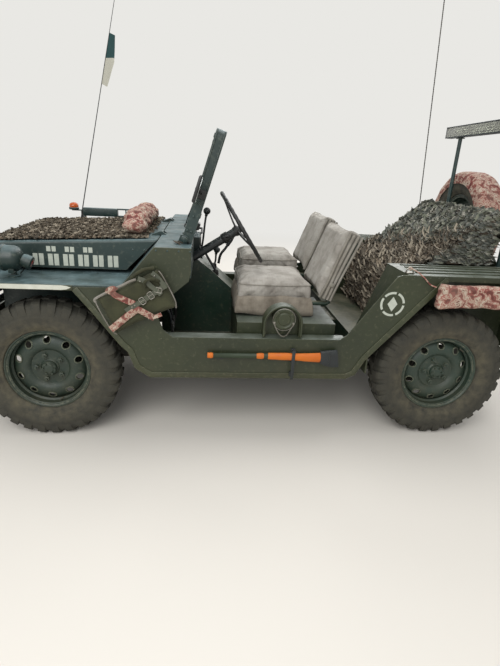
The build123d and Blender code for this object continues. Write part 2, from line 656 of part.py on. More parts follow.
hinge_radius = 9
hinge_x = hood_rear_x + 8
hinge_z = cowl_top + hinge_radius + 0.5
strap_front_x = hood_rear_x - 48
strap_half = 25
strap_wall = 5
for hood_hinge_y in (-330, 330):
    strap = side_plate([(strap_front_x, hood_z(strap_front_x) - 1), (strap_front_x, hood_z(strap_front_x) + strap_wall),
                        (hinge_x - 4, hinge_z + hinge_radius - 1), (hinge_x, hinge_z - 3),
                        (hood_rear_x - 4, hood_rear_top - 1)],
                       hood_hinge_y - strap_half, hood_hinge_y + strap_half)
    strap += disc_y(hinge_x, hood_hinge_y - strap_half, hood_hinge_y + strap_half, hinge_z, hinge_radius)
    hood += strap
    hood -= disc_y(hinge_x, hood_hinge_y - strap_half - 1, hood_hinge_y + strap_half + 1, hinge_z,
                   hinge_radius / 2 + bore_gap)
    lug_out = strap_half + 14
    cowl += disc_y(hinge_x, hood_hinge_y - lug_out, hood_hinge_y + lug_out, hinge_z, hinge_radius / 2)
    for side in (-1, 1):
        lug_a = hood_hinge_y + side * (strap_half + 1)
        lug_b = hood_hinge_y + side * lug_out
        cowl += disc_y(hinge_x, min(lug_a, lug_b), max(lug_a, lug_b), hinge_z, hinge_radius)
        cowl += side_plate([(hinge_x, hinge_z - hinge_radius), (hinge_x + 6, hinge_z + 6), (hinge_x + 30, cowl_top),
                            (slope_head_x, cowl_top - 1)], min(lug_a, lug_b), max(lug_a, lug_b))
save("cowl_panel", cowl)
save("hood", hood)
net_wall = 18
net_rear_x = hood_rear_x - 56
net_line = [(hood_front_x + 44, hood_front_top - 7), (crown_x, hood_front_top), (net_rear_x, hood_z(net_rear_x))]
net = side_plate(strip([(x, z + seat_gap) for x, z in net_line], -net_wall),
                 -hood_half_width + 20, hood_half_width - 20)
save("hood_net", net)

# Windscreen: frame with rounded upper corners on two feet, and one pane of glass
frame_bar = 46
glass_wall = 6


screen_low = -8
screen = block(-4, -4 + windscreen_depth, -windscreen_half_width, windscreen_half_width,
               screen_low, windscreen_length)
screen = fillet(screen.edges().filter_by(Axis.X).sort_by(Axis.Z)[-2:], 40)
opening = block(-10, 80, -windscreen_half_width + frame_bar, windscreen_half_width - frame_bar,
                screen_low + 52, windscreen_length - frame_bar)
opening = fillet(opening.edges().filter_by(Axis.X), 24)
screen -= opening
for side in (-1, 1):
    pin_y = side * (windscreen_half_width - 30)
    slot_a = min(pin_y, side * (windscreen_half_width - 50))
    slot_b = max(pin_y, side * (windscreen_half_width - 50))
    screen -= block(-60, 80, slot_a - 4, slot_b + 4, -60, 30)
    screen -= disc_y(0, min(pin_y, side * 700), max(pin_y, side * 700), 0, hinge_pin_radius + bore_gap)
upright = Pos(pivot_x, 0, pivot_z) * Rot(0, windscreen_rake, 0)
save("windshield_frame", upright * screen)
glass = block(14, 14 + glass_wall, -windscreen_half_width + frame_bar + seat_gap,
              windscreen_half_width - frame_bar - seat_gap, screen_low + 52 + seat_gap,
              windscreen_length - frame_bar - seat_gap)
glass = fillet(glass.edges().filter_by(Axis.X), 23)
save("windshield_glass", upright * glass)
mirror_arm = rod((20, -windscreen_half_width - 2, 235), (6, -windscreen_half_width - 60, 250), 6)
mirror_head = block(-14, 4, -windscreen_half_width - 130, -windscreen_half_width - 50, 190, 320)
save("side_mirror", upright * (mirror_arm + mirror_head))

# Cloth bundle tied down on the net at the rear of the hood
bundle_deep = 150
bundle_tall = 124
bundle_mid_x = net_rear_x - bundle_deep / 2
bundle = Box(bundle_deep, 760, bundle_tall, align=(Align.CENTER, Align.CENTER, Align.MIN))
bundle = fillet(bundle.edges().filter_by(Axis.Y), 44)
bundle_z = hood_z(bundle_mid_x) + (seat_gap + net_wall + seat_gap) / cos(atan(hood_slope))
bundle = Pos(bundle_mid_x, -20, bundle_z) * Rot(0, -degrees(atan(hood_slope)), 0) * bundle
save("cloth_bundle", bundle)

# Steering: column down to the firewall, and the three-spoke wheel on it
column_tilt = 33
wheel_hub = (front_axle_x + 985, -350, 1085)
column_dir = (-cos(radians(column_tilt)), 0, -sin(radians(column_tilt)))


def along_column(distance):
    return tuple(wheel_hub[i] + column_dir[i] * distance for i in range(3))


column_radius = 24
column = rod(along_column(10 + seat_gap), along_column(470), column_radius)
save("steering_column", column)
cowl -= rod(along_column(30), along_column(480), column_radius + seat_gap)
save("cowl_panel", cowl)
steering_radius = 218
steering_tube = 11
hub_plane = Plane(origin=wheel_hub, z_dir=(-column_dir[0], 0, -column_dir[2]))
rim_ring = Pos(0, 0, 40) * Torus(steering_radius, steering_tube)
steering = rim_ring + Pos(0, 0, -10) * Cylinder(30, 34, align=(Align.CENTER, Align.CENTER, Align.MIN))
for i in range(3):
    angle = radians(90 + 120 * i)
    inner_end = (20 * cos(angle), 20 * sin(angle), 10)
    outer_end = (steering_radius * cos(angle), steering_radius * sin(angle), 40)
    steering += rod(inner_end, outer_end, 8)
save("steering_wheel", hub_plane * steering)

# Levers on the gearbox cover, the hand brake and the three pedals
def on_cover(x, y):
    """Point on the gearbox cover, and the outward direction there."""
    for (x_a, z_a), (x_b, z_b) in zip(tunnel_line, tunnel_line[1:]):
        if x_a <= x <= x_b:
            run = hypot(x_b - x_a, z_b - z_a)
            z = z_a + (z_b - z_a) * (x - x_a) / (x_b - x_a)
            return Vector(x, y, z), Vector((z_a - z_b) / run, 0, (x_b - x_a) / run)


def lever(foot_x, knob, stem_radius, knob_radius):
    """Lever standing on the cover in its round boot."""
    foot, outward = on_cover(foot_x, knob[1])
    boot_foot = foot + outward * seat_gap
    boot_top = foot + outward * 12
    shape = rod(tuple(boot_foot), tuple(boot_top), 20)
    shape += rod(tuple(foot + outward * 11), knob, stem_radius)
    return shape + Pos(*knob) * Sphere(knob_radius)


levers = [lever(front_axle_x + 775, (front_axle_x + 819, 0, 1159), 7, 23),
          lever(front_axle_x + 870, (front_axle_x + 890, 60, 905), 7, 23),
          lever(front_axle_x + 880, (front_axle_x + 800, -115, 940), 9, 15)]
for pedal_y in (-520, -430, -250):
    pedal = block(front_axle_x + 628, front_axle_x + 640, pedal_y - 32, pedal_y + 32, 520, 590)
    pedal += rod((front_axle_x + 628, pedal_y, 555), (floor_front_x + 24, pedal_y, 700), 7)
    pedal += rod((floor_front_x + seat_gap, pedal_y, 700), (floor_front_x + 30, pedal_y, 700), 7)
    levers.append(pedal)
save("control_levers", *levers)

# Lamps: two headlamps, the drive lamp on the left fender, and the tail lamps
lamps = []
for side in (-1, 1):
    lamp = rod((nose_x - 16, side * lamp_y, lamp_z), (nose_x + 70, side * lamp_y, lamp_z), lamp_radius - 1)
    lamps.append(lamp - block(nose_x + sheet, nose_x + 100, side * lamp_y - 200, side * lamp_y + 200, 0, 1200)
                 + rod((nose_x, side * lamp_y, lamp_z), (nose_x + 60, side * lamp_y, lamp_z), lamp_radius - 20))
save("front_lamps", *lamps)
drive_lamp_y = -half_width + 141
drive_lamp = rod((front_axle_x - 190, drive_lamp_y, 950), (front_axle_x - 90, drive_lamp_y, 950), 66)
drive_lamp += rod((front_axle_x - 140, drive_lamp_y, fender_top + seat_gap),
                  (front_axle_x - 140, drive_lamp_y, 950), 12)
drive_lamp += rod((front_axle_x - 90, drive_lamp_y, 945), (front_axle_x - 40, drive_lamp_y, 925), 34)
save("drive_lamp", drive_lamp)
tail = []
for side in (-1, 1):
    tail_y = side * (half_width - 101)
    tail.append(rod((rear_panel_x + seat_gap, tail_y, 640), (rear_panel_x + 50, tail_y, 640), 50))
save("tail_lamps", *tail)

# Spare wheel on a carrier plate behind the rear panel
spare_y = 365
spare_z = 1109
carrier_wall = 12
spare_x = rear_panel_x + carrier_wall + tyre_half_width + 9
rear_panel += block(rear_panel_x, rear_panel_x + carrier_wall, spare_y - 70, spare_y + 70, 620, spare_z + 80)
rear_panel += rod((rear_panel_x + carrier_wall, spare_y, spare_z),
                  (spare_x - seat_gap, spare_y, spare_z), 56)
save("rear_panel", rear_panel)
save("spare_tyre", tyre(spare_x, spare_y, spare_z, -90))
save("spare_rim", rim(spare_x, spare_y, spare_z, -90, False))
ring_inside = [(93, 300), (93, 330), (89, 339), (81, 365), (69, 377)]
ring_outside = [(99, 300), (99, 332), (95, 342), (85, 371), (72, 383)]
ring_outline = ring_inside + [(-s, r) for s, r in ring_inside[::-1]]
ring_outline += [(-s, r) for s, r in ring_outside] + ring_outside[::-1]
ring_face = Face(Wire.make_polygon([Vector(0, s, r) for s, r in ring_outline], close=True))
spare_cover = Pos(spare_x, spare_y, spare_z) * Rot(0, 0, -90) * revolve(ring_face, Axis.Y, 360)
save("spare_cover", spare_cover)

# Rear bumperettes and pintle hook
hook_z = 540
bumperettes = []
for side in (-1, 1):
    y_a = side * 520
    bumperettes.append(block(rear_panel_x + seat_gap, rear_panel_x + 60, y_a - 110, y_a + 110, 500, 590))
save("bumperettes", *bumperettes)
hook_half = 15
hook_bore = 24
hook_x = rear_panel_x + 118
hook = block(rear_panel_x + seat_gap, rear_panel_x + 16, -60, 60, 485, 600)
hook += rod((rear_panel_x + 16, 0, hook_z), (rear_panel_x + 90, 0, hook_z), 24)
hook += disc_y(hook_x, -hook_half, hook_half, hook_z, 50)
hook -= disc_y(hook_x, -hook_half - 60, hook_half + 60, hook_z, hook_bore)
save("pintle_hook", hook)

# Light bar on two poles inside the rear panel
pole_x = floor_rear_x - 24
light_bar = block(pole_x - 30, pole_x + 30, -550, 550, 1712, 1790)
for side in (-1, 1):
    light_bar += rod((pole_x, side * 375, 900), (pole_x, side * 375, 1712), 14)
    light_bar += block(pole_x, floor_rear_x - seat_gap, side * 375 - 20, side * 375 + 20, 900, 940)
save("light_bar", light_bar)

# Whip aerials on sprung bases
front_whip_y = half_width - 141
front_whip = rod((front_axle_x - 120, front_whip_y, fender_top + seat_gap),
                 (front_axle_x - 120, front_whip_y, 1060), 24)
front_whip += rod((front_axle_x - 120, front_whip_y, 1060),
                  (front_axle_x + 205, front_whip_y + 40, 2560), 4)
whip_y = half_width + 25
rear_whip = block(rear_axle_x + 400, rear_axle_x + 470, half_width + seat_gap, whip_y + 22, 860, 940)
rear_whip += rod((rear_axle_x + 440, whip_y, 940), (rear_axle_x + 440, whip_y, 1200), 22)
rear_whip += rod((rear_axle_x + 440, whip_y, 1200), (rear_axle_x + 340, whip_y - 30, 2700), 5)
save("whip_aerials", front_whip, rear_whip)

# Axe clipped along the left sill
axe_y = -half_width - 22
axe = rod((front_axle_x + 832, axe_y, 508), (front_axle_x + 1430, axe_y, 508), 16)
axe += side_plate([(front_axle_x + 1420, 530), (front_axle_x + 1520, 546), (front_axle_x + 1537, 450),
                   (front_axle_x + 1500, 470), (front_axle_x + 1420, 488)], axe_y - 12, axe_y + 12)
axe += block(front_axle_x + 1272, front_axle_x + 1296, axe_y, -half_width - seat_gap, 420, 545)
save("axe", axe)

# Side bag strapped on the cowl side, the roll under the rear deck edge, and the bar on the right fender
bag_wall = 62
bag = Pos(front_axle_x + 488, -half_width - seat_gap - bag_wall / 2, 792) * Rot(0, -26.4, 0) * \
    Box(346, bag_wall, 212)
bag = fillet(bag.edges().filter_by(Axis.Y), 14)
save("side_bag", bag)
roll = Pos(rear_axle_x + 70, -half_width - seat_gap - 36, 862) * Box(480, 72, 150)
roll = fillet(roll.edges().filter_by(Axis.X), 30)
save("rear_bag", roll)
bar_y = half_width - 56
beacon = block(front_axle_x - 134, front_axle_x + 345, bar_y - 28, bar_y + 28, 1015, 1080)
for x in (front_axle_x - 120, front_axle_x + 320):
    beacon += block(x - 8, x + 8, bar_y - 20, bar_y + 20, fender_top + seat_gap, 1015)
beacon += rod((front_axle_x - 200, bar_y, 1078), (front_axle_x - 200, bar_y, 1112), 38)
beacon += block(front_axle_x - 215, front_axle_x - 128, bar_y - 16, bar_y + 16, 1050, 1078)
save("beacon_bar", beacon)
print("nodes", len(nodes))
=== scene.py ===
import bpy
import bmesh
import random
from math import cos, hypot, pi, radians, sin
from mathutils import Matrix, Vector, noise


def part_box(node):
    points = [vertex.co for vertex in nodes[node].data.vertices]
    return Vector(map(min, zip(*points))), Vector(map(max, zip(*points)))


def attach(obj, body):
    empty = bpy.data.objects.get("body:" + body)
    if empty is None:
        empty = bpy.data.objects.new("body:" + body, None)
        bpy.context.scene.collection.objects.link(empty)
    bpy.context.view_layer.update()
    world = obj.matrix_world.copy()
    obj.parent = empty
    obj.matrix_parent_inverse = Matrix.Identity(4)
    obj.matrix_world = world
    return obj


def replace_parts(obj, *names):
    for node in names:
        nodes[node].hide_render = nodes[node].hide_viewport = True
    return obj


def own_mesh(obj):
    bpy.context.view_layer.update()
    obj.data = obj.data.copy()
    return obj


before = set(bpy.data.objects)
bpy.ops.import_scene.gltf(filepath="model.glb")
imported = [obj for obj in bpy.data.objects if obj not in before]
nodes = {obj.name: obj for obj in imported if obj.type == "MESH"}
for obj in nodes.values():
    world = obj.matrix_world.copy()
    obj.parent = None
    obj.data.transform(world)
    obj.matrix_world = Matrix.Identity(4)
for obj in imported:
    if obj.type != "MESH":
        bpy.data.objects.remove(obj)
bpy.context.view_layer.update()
scene = bpy.context.scene
scene.view_settings.view_transform = "Standard"

# Camera: stands 3 m off the car's left side, a little ahead of its middle, and looks down
# on it at 20 degrees, turned slightly to the rear and rolled slightly.
camera_data = bpy.data.cameras.new("camera")
camera_data.lens = 24.465
camera_data.sensor_width = 36
camera = bpy.data.objects.new("camera", camera_data)
scene.collection.objects.link(camera)
camera_yaw, camera_pitch, camera_roll = radians(6.23), radians(20.0), radians(3.21)
level = Vector((sin(camera_yaw), cos(camera_yaw), 0))
right = Vector((cos(camera_yaw), -sin(camera_yaw), 0))
ahead = level * cos(camera_pitch) - Vector((0, 0, 1)) * sin(camera_pitch)
above = right.cross(ahead)
camera_x = right * cos(camera_roll) + above * sin(camera_roll)
camera_y = above * cos(camera_roll) - right * sin(camera_roll)
camera_stand = Matrix.Translation((-0.3415, -2.984, 1.430))
camera.matrix_world = camera_stand @ Matrix((camera_x, camera_y, -ahead)).transposed().to_4x4()
scene.camera = camera


# Studio: a pale floor that runs to the horizon, a pale sky of even light, and three large
# soft lamps, the widest on the camera's side.
def linear(hex_colour):
    """Linear RGBA of an sRGB hex colour."""
    shares = [int(hex_colour[i:i + 2], 16) / 255 for i in (1, 3, 5)]
    return [v / 12.92 if v <= 0.04045 else ((v + 0.055) / 1.055) ** 2.4 for v in shares] + [1.0]


def add(tree, kind, settings=(), links=()):
    """One node with its properties and sockets set and its inputs linked."""
    node = tree.nodes.new(kind)
    for key, value in dict(settings).items():
        if isinstance(key, int) or (key in node.inputs and not hasattr(node, str(key))):
            node.inputs[key].default_value = value
        else:
            setattr(node, key, value)
    for key, socket in dict(links).items():
        tree.links.new(socket, node.inputs[key])
    return node


def maths(tree, operation, first, second):
    """Result of an operation on two sockets or numbers."""
    node = add(tree, "ShaderNodeMath", {"operation": operation})
    for key, value in ((0, first), (1, second)):
        if isinstance(value, (int, float)):
            node.inputs[key].default_value = value
        else:
            tree.links.new(value, node.inputs[key])
    return node.outputs[0]


def in_sight(tree):
    """1 on rays that the camera sees straight, in a reflection or through glass."""
    ray = add(tree, "ShaderNodeLightPath").outputs
    seen = maths(tree, "MAXIMUM", ray["Is Camera Ray"], ray["Is Glossy Ray"])
    return maths(tree, "MAXIMUM", seen, ray["Is Transmission Ray"])


horizon_colour = linear("#e9e8e4")
world = bpy.data.worlds.new("studio_sky")
world.use_nodes = True
sky_tree = world.node_tree
sky_tree.nodes.clear()
scene.world = world
sky_light = add(sky_tree, "ShaderNodeBackground", {"Color": linear("#f1f3f6"), "Strength": 0.62})
sky_seen = add(sky_tree, "ShaderNodeBackground", {"Color": horizon_colour, "Strength": 1.0})
sky_mix = add(sky_tree, "ShaderNodeMixShader", (),
              {0: in_sight(sky_tree), 1: sky_light.outputs[0], 2: sky_seen.outputs[0]})
add(sky_tree, "ShaderNodeOutputWorld", (), {0: sky_mix.outputs[0]})
car_middle = Vector((0, 0, 0.7))
# lamp name, watts, side in metres, place
for name, watts, side, place in (("near_softbox", 330, 5.0, (-2.2, -5.4, 4.6)),
                                 ("far_softbox", 250, 4.0, (2.6, 5.2, 4.8)),
                                 ("top_softbox", 120, 4.0, (0.2, 0.4, 5.4))):
    lamp_data = bpy.data.lights.new(name, "AREA")
    lamp_data.energy = watts
    lamp_data.size = side
    lamp = bpy.data.objects.new(name, lamp_data)
    scene.collection.objects.link(lamp)
    lamp.location = place
    lamp.rotation_euler = (car_middle - Vector(place)).to_track_quat("-Z", "Y").to_euler()

floor_mesh = bpy.data.meshes.new("studio_floor")
floor_reach = 80
floor_corners = [(x * floor_reach, y * floor_reach, 0) for x, y in ((-1, -1), (1, -1), (1, 1), (-1, 1))]
floor_mesh.from_pydata(floor_corners, [], [(0, 1, 2, 3)])
studio_floor = bpy.data.objects.new("studio_floor", floor_mesh)
scene.collection.objects.link(studio_floor)
floor_paint = bpy.data.materials.new("pale_studio_floor")
floor_paint.use_nodes = True
floor_tree = floor_paint.node_tree
floor_shader = floor_tree.nodes["Principled BSDF"]
floor_shader.inputs["Base Color"].default_value = linear("#d6d1c8")
floor_shader.inputs["Roughness"].default_value = 0.9
# far from the car the floor fades into the sky's colour, so that no horizon shows
floor_spot = add(floor_tree, "ShaderNodeTexCoord").outputs["Object"]
floor_run = add(floor_tree, "ShaderNodeVectorMath", {"operation": "LENGTH"},
                {0: floor_spot}).outputs["Value"]
floor_fade = add(floor_tree, "ShaderNodeMapRange", {"interpolation_type": "SMOOTHSTEP", "From Min": 2.6,
                                                    "From Max": 8.5}, {"Value": floor_run}).outputs[0]
floor_glow = add(floor_tree, "ShaderNodeEmission", {"Color": horizon_colour})
floor_share = maths(floor_tree, "MULTIPLY", floor_fade, in_sight(floor_tree))
floor_mix = add(floor_tree, "ShaderNodeMixShader", (),
                {0: floor_share, 1: floor_shader.outputs[0], 2: floor_glow.outputs[0]})
floor_tree.links.new(floor_mix.outputs[0], floor_tree.nodes["Material Output"].inputs[0])
floor_mesh.materials.append(floor_paint)


# Body shell: a pressed and welded steel tub with flat fenders, a sloped cowl and ribbed rear
# decks, painted by brush and spray gun in matt olive enamel that dust has settled on. Level faces
# are drawn paler, as dust and painted sky reflection, and the hood, cowl, fenders and screen frame bluer, as
# painted sky reflection.
front_axle_x = sum(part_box("rim_fl"), Vector()).x / 2
mm = 0.001


def new_material(name, roughness, metallic=0.0):
    """Empty node material with one Principled shader, and a texture coordinate to read."""
    material = bpy.data.materials.new(name)
    material.use_nodes = True
    tree = material.node_tree
    shader = tree.nodes["Principled BSDF"]
    shader.inputs["Roughness"].default_value = roughness
    shader.inputs["Metallic"].default_value = metallic
    place = add(tree, "ShaderNodeTexCoord").outputs["Object"]
    return material, tree, shader, place


def stretched(tree, value, low, high, to_low=0.0, to_high=1.0):
    """Socket whose range from low to high becomes another range, with its ends kept."""
    limits = {"From Min": low, "From Max": high, "To Min": to_low, "To Max": to_high}
    return add(tree, "ShaderNodeMapRange", limits, {"Value": value}).outputs[0]


def blotches(tree, place, patch_mm, low, high, detail=4.0, rough=0.6):
    """Noise with patches of a real size, stretched to 0..1 between two of its values."""
    cloud = add(tree, "ShaderNodeTexNoise",
                {"Scale": 1000.0 / patch_mm, "Detail": detail, "Roughness": rough}, {"Vector": place})
    return stretched(tree, cloud.outputs[0], low, high)


def mixed(tree, share, under, over):
    """Colour that goes from one colour or socket to another by a share."""
    node = add(tree, "ShaderNodeMix", {"data_type": "RGBA"}, {0: share})
    for key, value in ((6, under), (7, over)):
        if isinstance(value, str):
            node.inputs[key].default_value = linear(value)
        else:
            tree.links.new(value, node.inputs[key])
    return node.outputs[2]


def times(tree, *factors):
    """Product of sockets and numbers."""
    result = factors[0]
    for factor in factors[1:]:
        result = maths(tree, "MULTIPLY", result, factor)
    return result


def raised(tree, shader, height, depth_mm, strength=1.0):
    """Bump of a real depth on the shader."""
    bump = add(tree, "ShaderNodeBump", {"Strength": strength, "Distance": depth_mm * mm}, {"Height": height})
    tree.links.new(bump.outputs[0], shader.inputs["Normal"])


def edges_of(tree, radius_mm):
    """1 along the edges of a piece, as wide as a radius, and 0 on its faces."""
    soft = add(tree, "ShaderNodeBevel", {"samples": 4, "Radius": radius_mm * mm}).outputs[0]
    facing = add(tree, "ShaderNodeNewGeometry").outputs["Normal"]
    bend = add(tree, "ShaderNodeVectorMath", {"operation": "DOT_PRODUCT"}, {0: soft, 1: facing})
    return stretched(tree, bend.outputs["Value"], 0.985, 0.90)


def enamel(name, colour, bright, chip, gloss, dust_and_sky_share, dust="#7b7c70", mud="#4d4736"):
    """Sprayed enamel: shade patches, chipped edges, a pale layer of dust and painted sky reflection on level
    faces, and road dirt low down.
    """
    material, tree, shader, place = new_material(name, gloss)
    shade = mixed(tree, blotches(tree, place, 420, 0.35, 0.68), colour, bright)
    speck = mixed(tree, times(tree, blotches(tree, place, 22, 0.55, 0.75, 6.0), 0.35), shade, chip)
    facing = add(tree, "ShaderNodeNewGeometry").outputs["Normal"]
    upward = add(tree, "ShaderNodeSeparateXYZ", (), {0: facing}).outputs[2]
    # painted reflection: level faces take a pale layer that is partly dust and partly the sky's reflection
    # painted into the colour
    flat = stretched(tree, upward, 0.45, 1.0)
    dust_and_sky_cover = times(tree, flat, blotches(tree, place, 130, 0.25, 0.7, 6.0), dust_and_sky_share)
    dusty = mixed(tree, dust_and_sky_cover, speck, dust)
    height = add(tree, "ShaderNodeSeparateXYZ", (), {0: place}).outputs[2]
    low = stretched(tree, height, 0.56, 0.24)
    dirty = mixed(tree, times(tree, low, blotches(tree, place, 60, 0.3, 0.72, 8.0), 0.55), dusty, mud)
    chipped = times(tree, edges_of(tree, 3.5), blotches(tree, place, 16, 0.42, 0.6, 6.0), 0.8)
    tree.links.new(mixed(tree, chipped, dirty, chip), shader.inputs["Base Color"])
    dull = stretched(tree, times(tree, blotches(tree, place, 90, 0.3, 0.75), 0.6), 0.0, 1.0, gloss, 0.85)
    tree.links.new(dull, shader.inputs["Roughness"])
    spray_grain = times(tree, blotches(tree, place, 3.0, 0.2, 0.8), 0.03)
    ripple = maths(tree, "ADD", blotches(tree, place, 260, 0.2, 0.8, 2.0), spray_grain)
    raised(tree, shader, ripple, 5.0, 0.35)
    return material


# matt olive enamel on pressed steel: brown-green, slightly glossy, a pale layer of dust and painted sky
# reflection on level faces
olive_enamel = enamel("olive_enamel_on_steel", "#1f2616", "#2c321d", "#66654d", 0.36, 0.62, "#767e76",
                      "#443f2c")
# the same enamel drawn darker and bluer on the hood, cowl and screen frame, as painted sky reflection
sky_tinted_hood_enamel = enamel("dark_green_sky_tinted_enamel_on_steel", "#172724", "#213634", "#6f7568", 0.32, 0.72, "#70868a")
# bright bottle green brushed inside the tub, thick and glossier than outside
inner_enamel = enamel("bottle_green_floor_enamel", "#0d2317", "#153425", "#6e664f", 0.34, 0.62, "#847c68")
# black-green underseal on frame and axles: rough, brown with road dust
underseal = enamel("black_green_underseal", "#1a1c18", "#272923", "#4f4738", 0.62, 0.5, "#57503f", "#4c4434")


def finished(node_name, material):
    """CAD node whose only material is the one given."""
    node = nodes[node_name]
    node.data.materials.clear()
    node.data.materials.append(material)
    return node


def crisp(node_name, width_mm, material):
    """Merge a CAD node's loose triangles, round its edges a little and give it its finish."""
    node = finished(node_name, material)
    weld = node.modifiers.new("merged", "WELD")
    weld.merge_threshold = 0.00005
    flats = node.modifiers.new("flats", "DECIMATE")
    flats.decimate_type = "DISSOLVE"
    flats.angle_limit = radians(0.4)
    round_edges = node.modifiers.new("round_edges", "BEVEL")
    round_edges.width = width_mm * mm
    round_edges.segments = 2
    round_edges.limit_method = "ANGLE"
    round_edges.angle_limit = radians(35)
    for polygon in node.data.polygons:
        polygon.use_smooth = True
    smooth = node.modifiers.new("even_shade", "WEIGHTED_NORMAL")
    smooth.weight = 80


# finish: the CAD nodes that have it, each with the rounding of its edges in millimetres
for paint, widths in (
        (olive_enamel, {"body_sides": 2.2, "rear_wheelhouses": 2.2, "rear_panel": 2.2, "front_bumper": 2.5,
                        "bumperettes": 3.0, "fuel_tank": 2.0}),
        (sky_tinted_hood_enamel, {"cowl_panel": 1.6, "front_fenders": 2.2, "grille_panel": 1.6, "hood": 1.6,
                        "windshield_frame": 2.5}),
        (inner_enamel, {"floor_pan": 2.0, "seat_frames": 1.0}),
        (underseal, {"frame_rails": 2.5, "suspension_arms": 2.5, "knuckle_left": 1.5, "knuckle_right": 1.5,
                     "differentials": 1.5, "drive_shafts": 1.0, "engine_block": 4.0, "gearbox": 4.0,
                     "radiator": 2.0, "pintle_hook": 2.0, "steering_column": 1.0, "exhaust_pipe": 1.0,
                     "coil_springs": 1.0})):
    for name, width in widths.items():
        crisp(name, width, paint)


# Tyres: 7.00-16 cross-ply with blocky shoulder lugs, moulded black rubber gone brown with
# road dust. The carcass is lathed and the lugs repeat round it, staggered side to side.
def skin(shape, rows, round_rows=False, closed=False):
    """Adds faces between rows of corners; a round row, and a closed run of rows, meet their own start."""
    for i in range(len(rows) if closed else len(rows) - 1):
        here, there = rows[i], rows[(i + 1) % len(rows)]
        for j in range(len(here) if round_rows else len(here) - 1):
            k = (j + 1) % len(here)
            shape.faces.new((here[j], here[k], there[k], there[j]))


def full_turn(steps, turns=1):
    """Angles of so many steps to a turn; more than one turn ends where it began."""
    return [2 * pi * i / steps for i in range(steps if turns == 1 else steps * turns + 1)]


def loose_object(name, shape, material=None):
    """Mesh object that is still to be joined, cut or set on a body."""
    mesh = bpy.data.meshes.new(name)
    shape.to_mesh(mesh)
    shape.free()
    if material:
        mesh.materials.append(material)
    made = bpy.data.objects.new(name, mesh)
    scene.collection.objects.link(made)
    return made


def lathed(name, profile, steps, material, closed=True):
    """Loose object: a profile of (station, radius) in millimetres turned about the Y axis."""
    shape = bmesh.new()
    skin(shape, [[shape.verts.new((r * mm * cos(a), s * mm, r * mm * sin(a))) for s, r in profile]
                 for a in full_turn(steps)], closed, True)
    if closed:
        bmesh.ops.recalc_face_normals(shape, faces=shape.faces)
    return loose_object(name, shape, material)


def shade(made, smooth_under=35.0):
    """Smooth shading, with edges sharper than an angle left sharp."""
    for polygon in made.data.polygons:
        polygon.use_smooth = True
    made.data.set_sharp_from_angle(angle=radians(smooth_under))


def on_body(made, body):
    """Object that rides on a body."""
    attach(made, body)
    return made


def piece(name, shape, material, body, smooth_under=35.0):
    """Mesh object that rides on a body; edges sharper than an angle stay sharp."""
    bmesh.ops.recalc_face_normals(shape, faces=shape.faces)
    made = loose_object(name, shape, material)
    shade(made, smooth_under)
    return on_body(made, body)


def node_group(name, floats=(), counts=()):
    """Geometry node tree with a mesh in and out, and named inputs for its sizes and counts."""
    tree = bpy.data.node_groups.new(name, "GeometryNodeTree")
    tree.interface.new_socket("Geometry", in_out="INPUT", socket_type="NodeSocketGeometry")
    tree.interface.new_socket("Geometry", in_out="OUTPUT", socket_type="NodeSocketGeometry")
    for kind, names in (("NodeSocketFloat", floats), ("NodeSocketInt", counts)):
        for socket_name in names:
            tree.interface.new_socket(socket_name, in_out="INPUT", socket_type=kind)
    tree.interface.new_socket("Material", in_out="INPUT", socket_type="NodeSocketMaterial")
    return tree, add(tree, "NodeGroupInput").outputs


def close_group(tree, geometry, material):
    """Instances made real, the material set, and the result sent out."""
    real = add(tree, "GeometryNodeRealizeInstances", (), {0: geometry})
    coloured = add(tree, "GeometryNodeSetMaterial", (), {"Geometry": real.outputs[0], "Material": material})
    add(tree, "NodeGroupOutput", (), {0: coloured.outputs[0]})


def grown(made, tree, values):
    """Runs a geometry node tree on an object with its inputs set, and keeps the plain mesh."""
    modifier = made.modifiers.new(tree.name, "NODES")
    modifier.node_group = tree
    for item in tree.interface.items_tree:
        if item.in_out == "INPUT" and item.name in values:
            modifier[item.identifier] = values[item.name]
    return settled_mesh(made)


def settled_mesh(made):
    """The evaluated mesh put in place of the modifiers."""
    made.update_tag()
    bpy.context.view_layer.update()
    depsgraph = bpy.context.evaluated_depsgraph_get()
    result = bpy.data.meshes.new_from_object(made.evaluated_get(depsgraph), depsgraph=depsgraph)
    made.modifiers.clear()
    made.data = result
    return made


round_tree, given = node_group("round_the_axle", counts=("Count",))
spots = add(round_tree, "GeometryNodePoints", (), {"Count": given["Count"]})
share = maths(round_tree, "DIVIDE", 2 * pi, given["Count"])
turn = maths(round_tree, "MULTIPLY", share, add(round_tree, "GeometryNodeInputIndex").outputs[0])
about_y = add(round_tree, "ShaderNodeCombineXYZ", (), {1: turn})
ring = add(round_tree, "GeometryNodeInstanceOnPoints", (),
           {"Points": spots.outputs[0], "Instance": given["Geometry"], "Rotation": about_y.outputs[0]})
close_group(round_tree, ring.outputs[0], given["Material"])


def ring_of(name, shape, count, material, smooth_under=35.0):
    """A small mesh repeated round the Y axis, as a plain mesh."""
    bmesh.ops.recalc_face_normals(shape, faces=shape.faces)
    made = grown(loose_object(name, shape), round_tree, {"Count": count, "Material": material})
    shade(made, smooth_under)
    return made


def joined(first, *others):
    """Meshes of several loose objects put together in the first one."""
    whole = bmesh.new()
    materials = []
    for made in (first, *others):
        shift = len(materials)
        materials.extend(made.data.materials)
        start = len(whole.faces)
        whole.from_mesh(made.data)
        whole.faces.ensure_lookup_table()
        for face in whole.faces[start:]:
            face.material_index += shift
    mesh = bpy.data.meshes.new(first.name)
    whole.to_mesh(mesh)
    whole.free()
    for material in materials:
        mesh.materials.append(material)
    first.data = mesh
    for made in others:
        bpy.data.objects.remove(made)
    return first


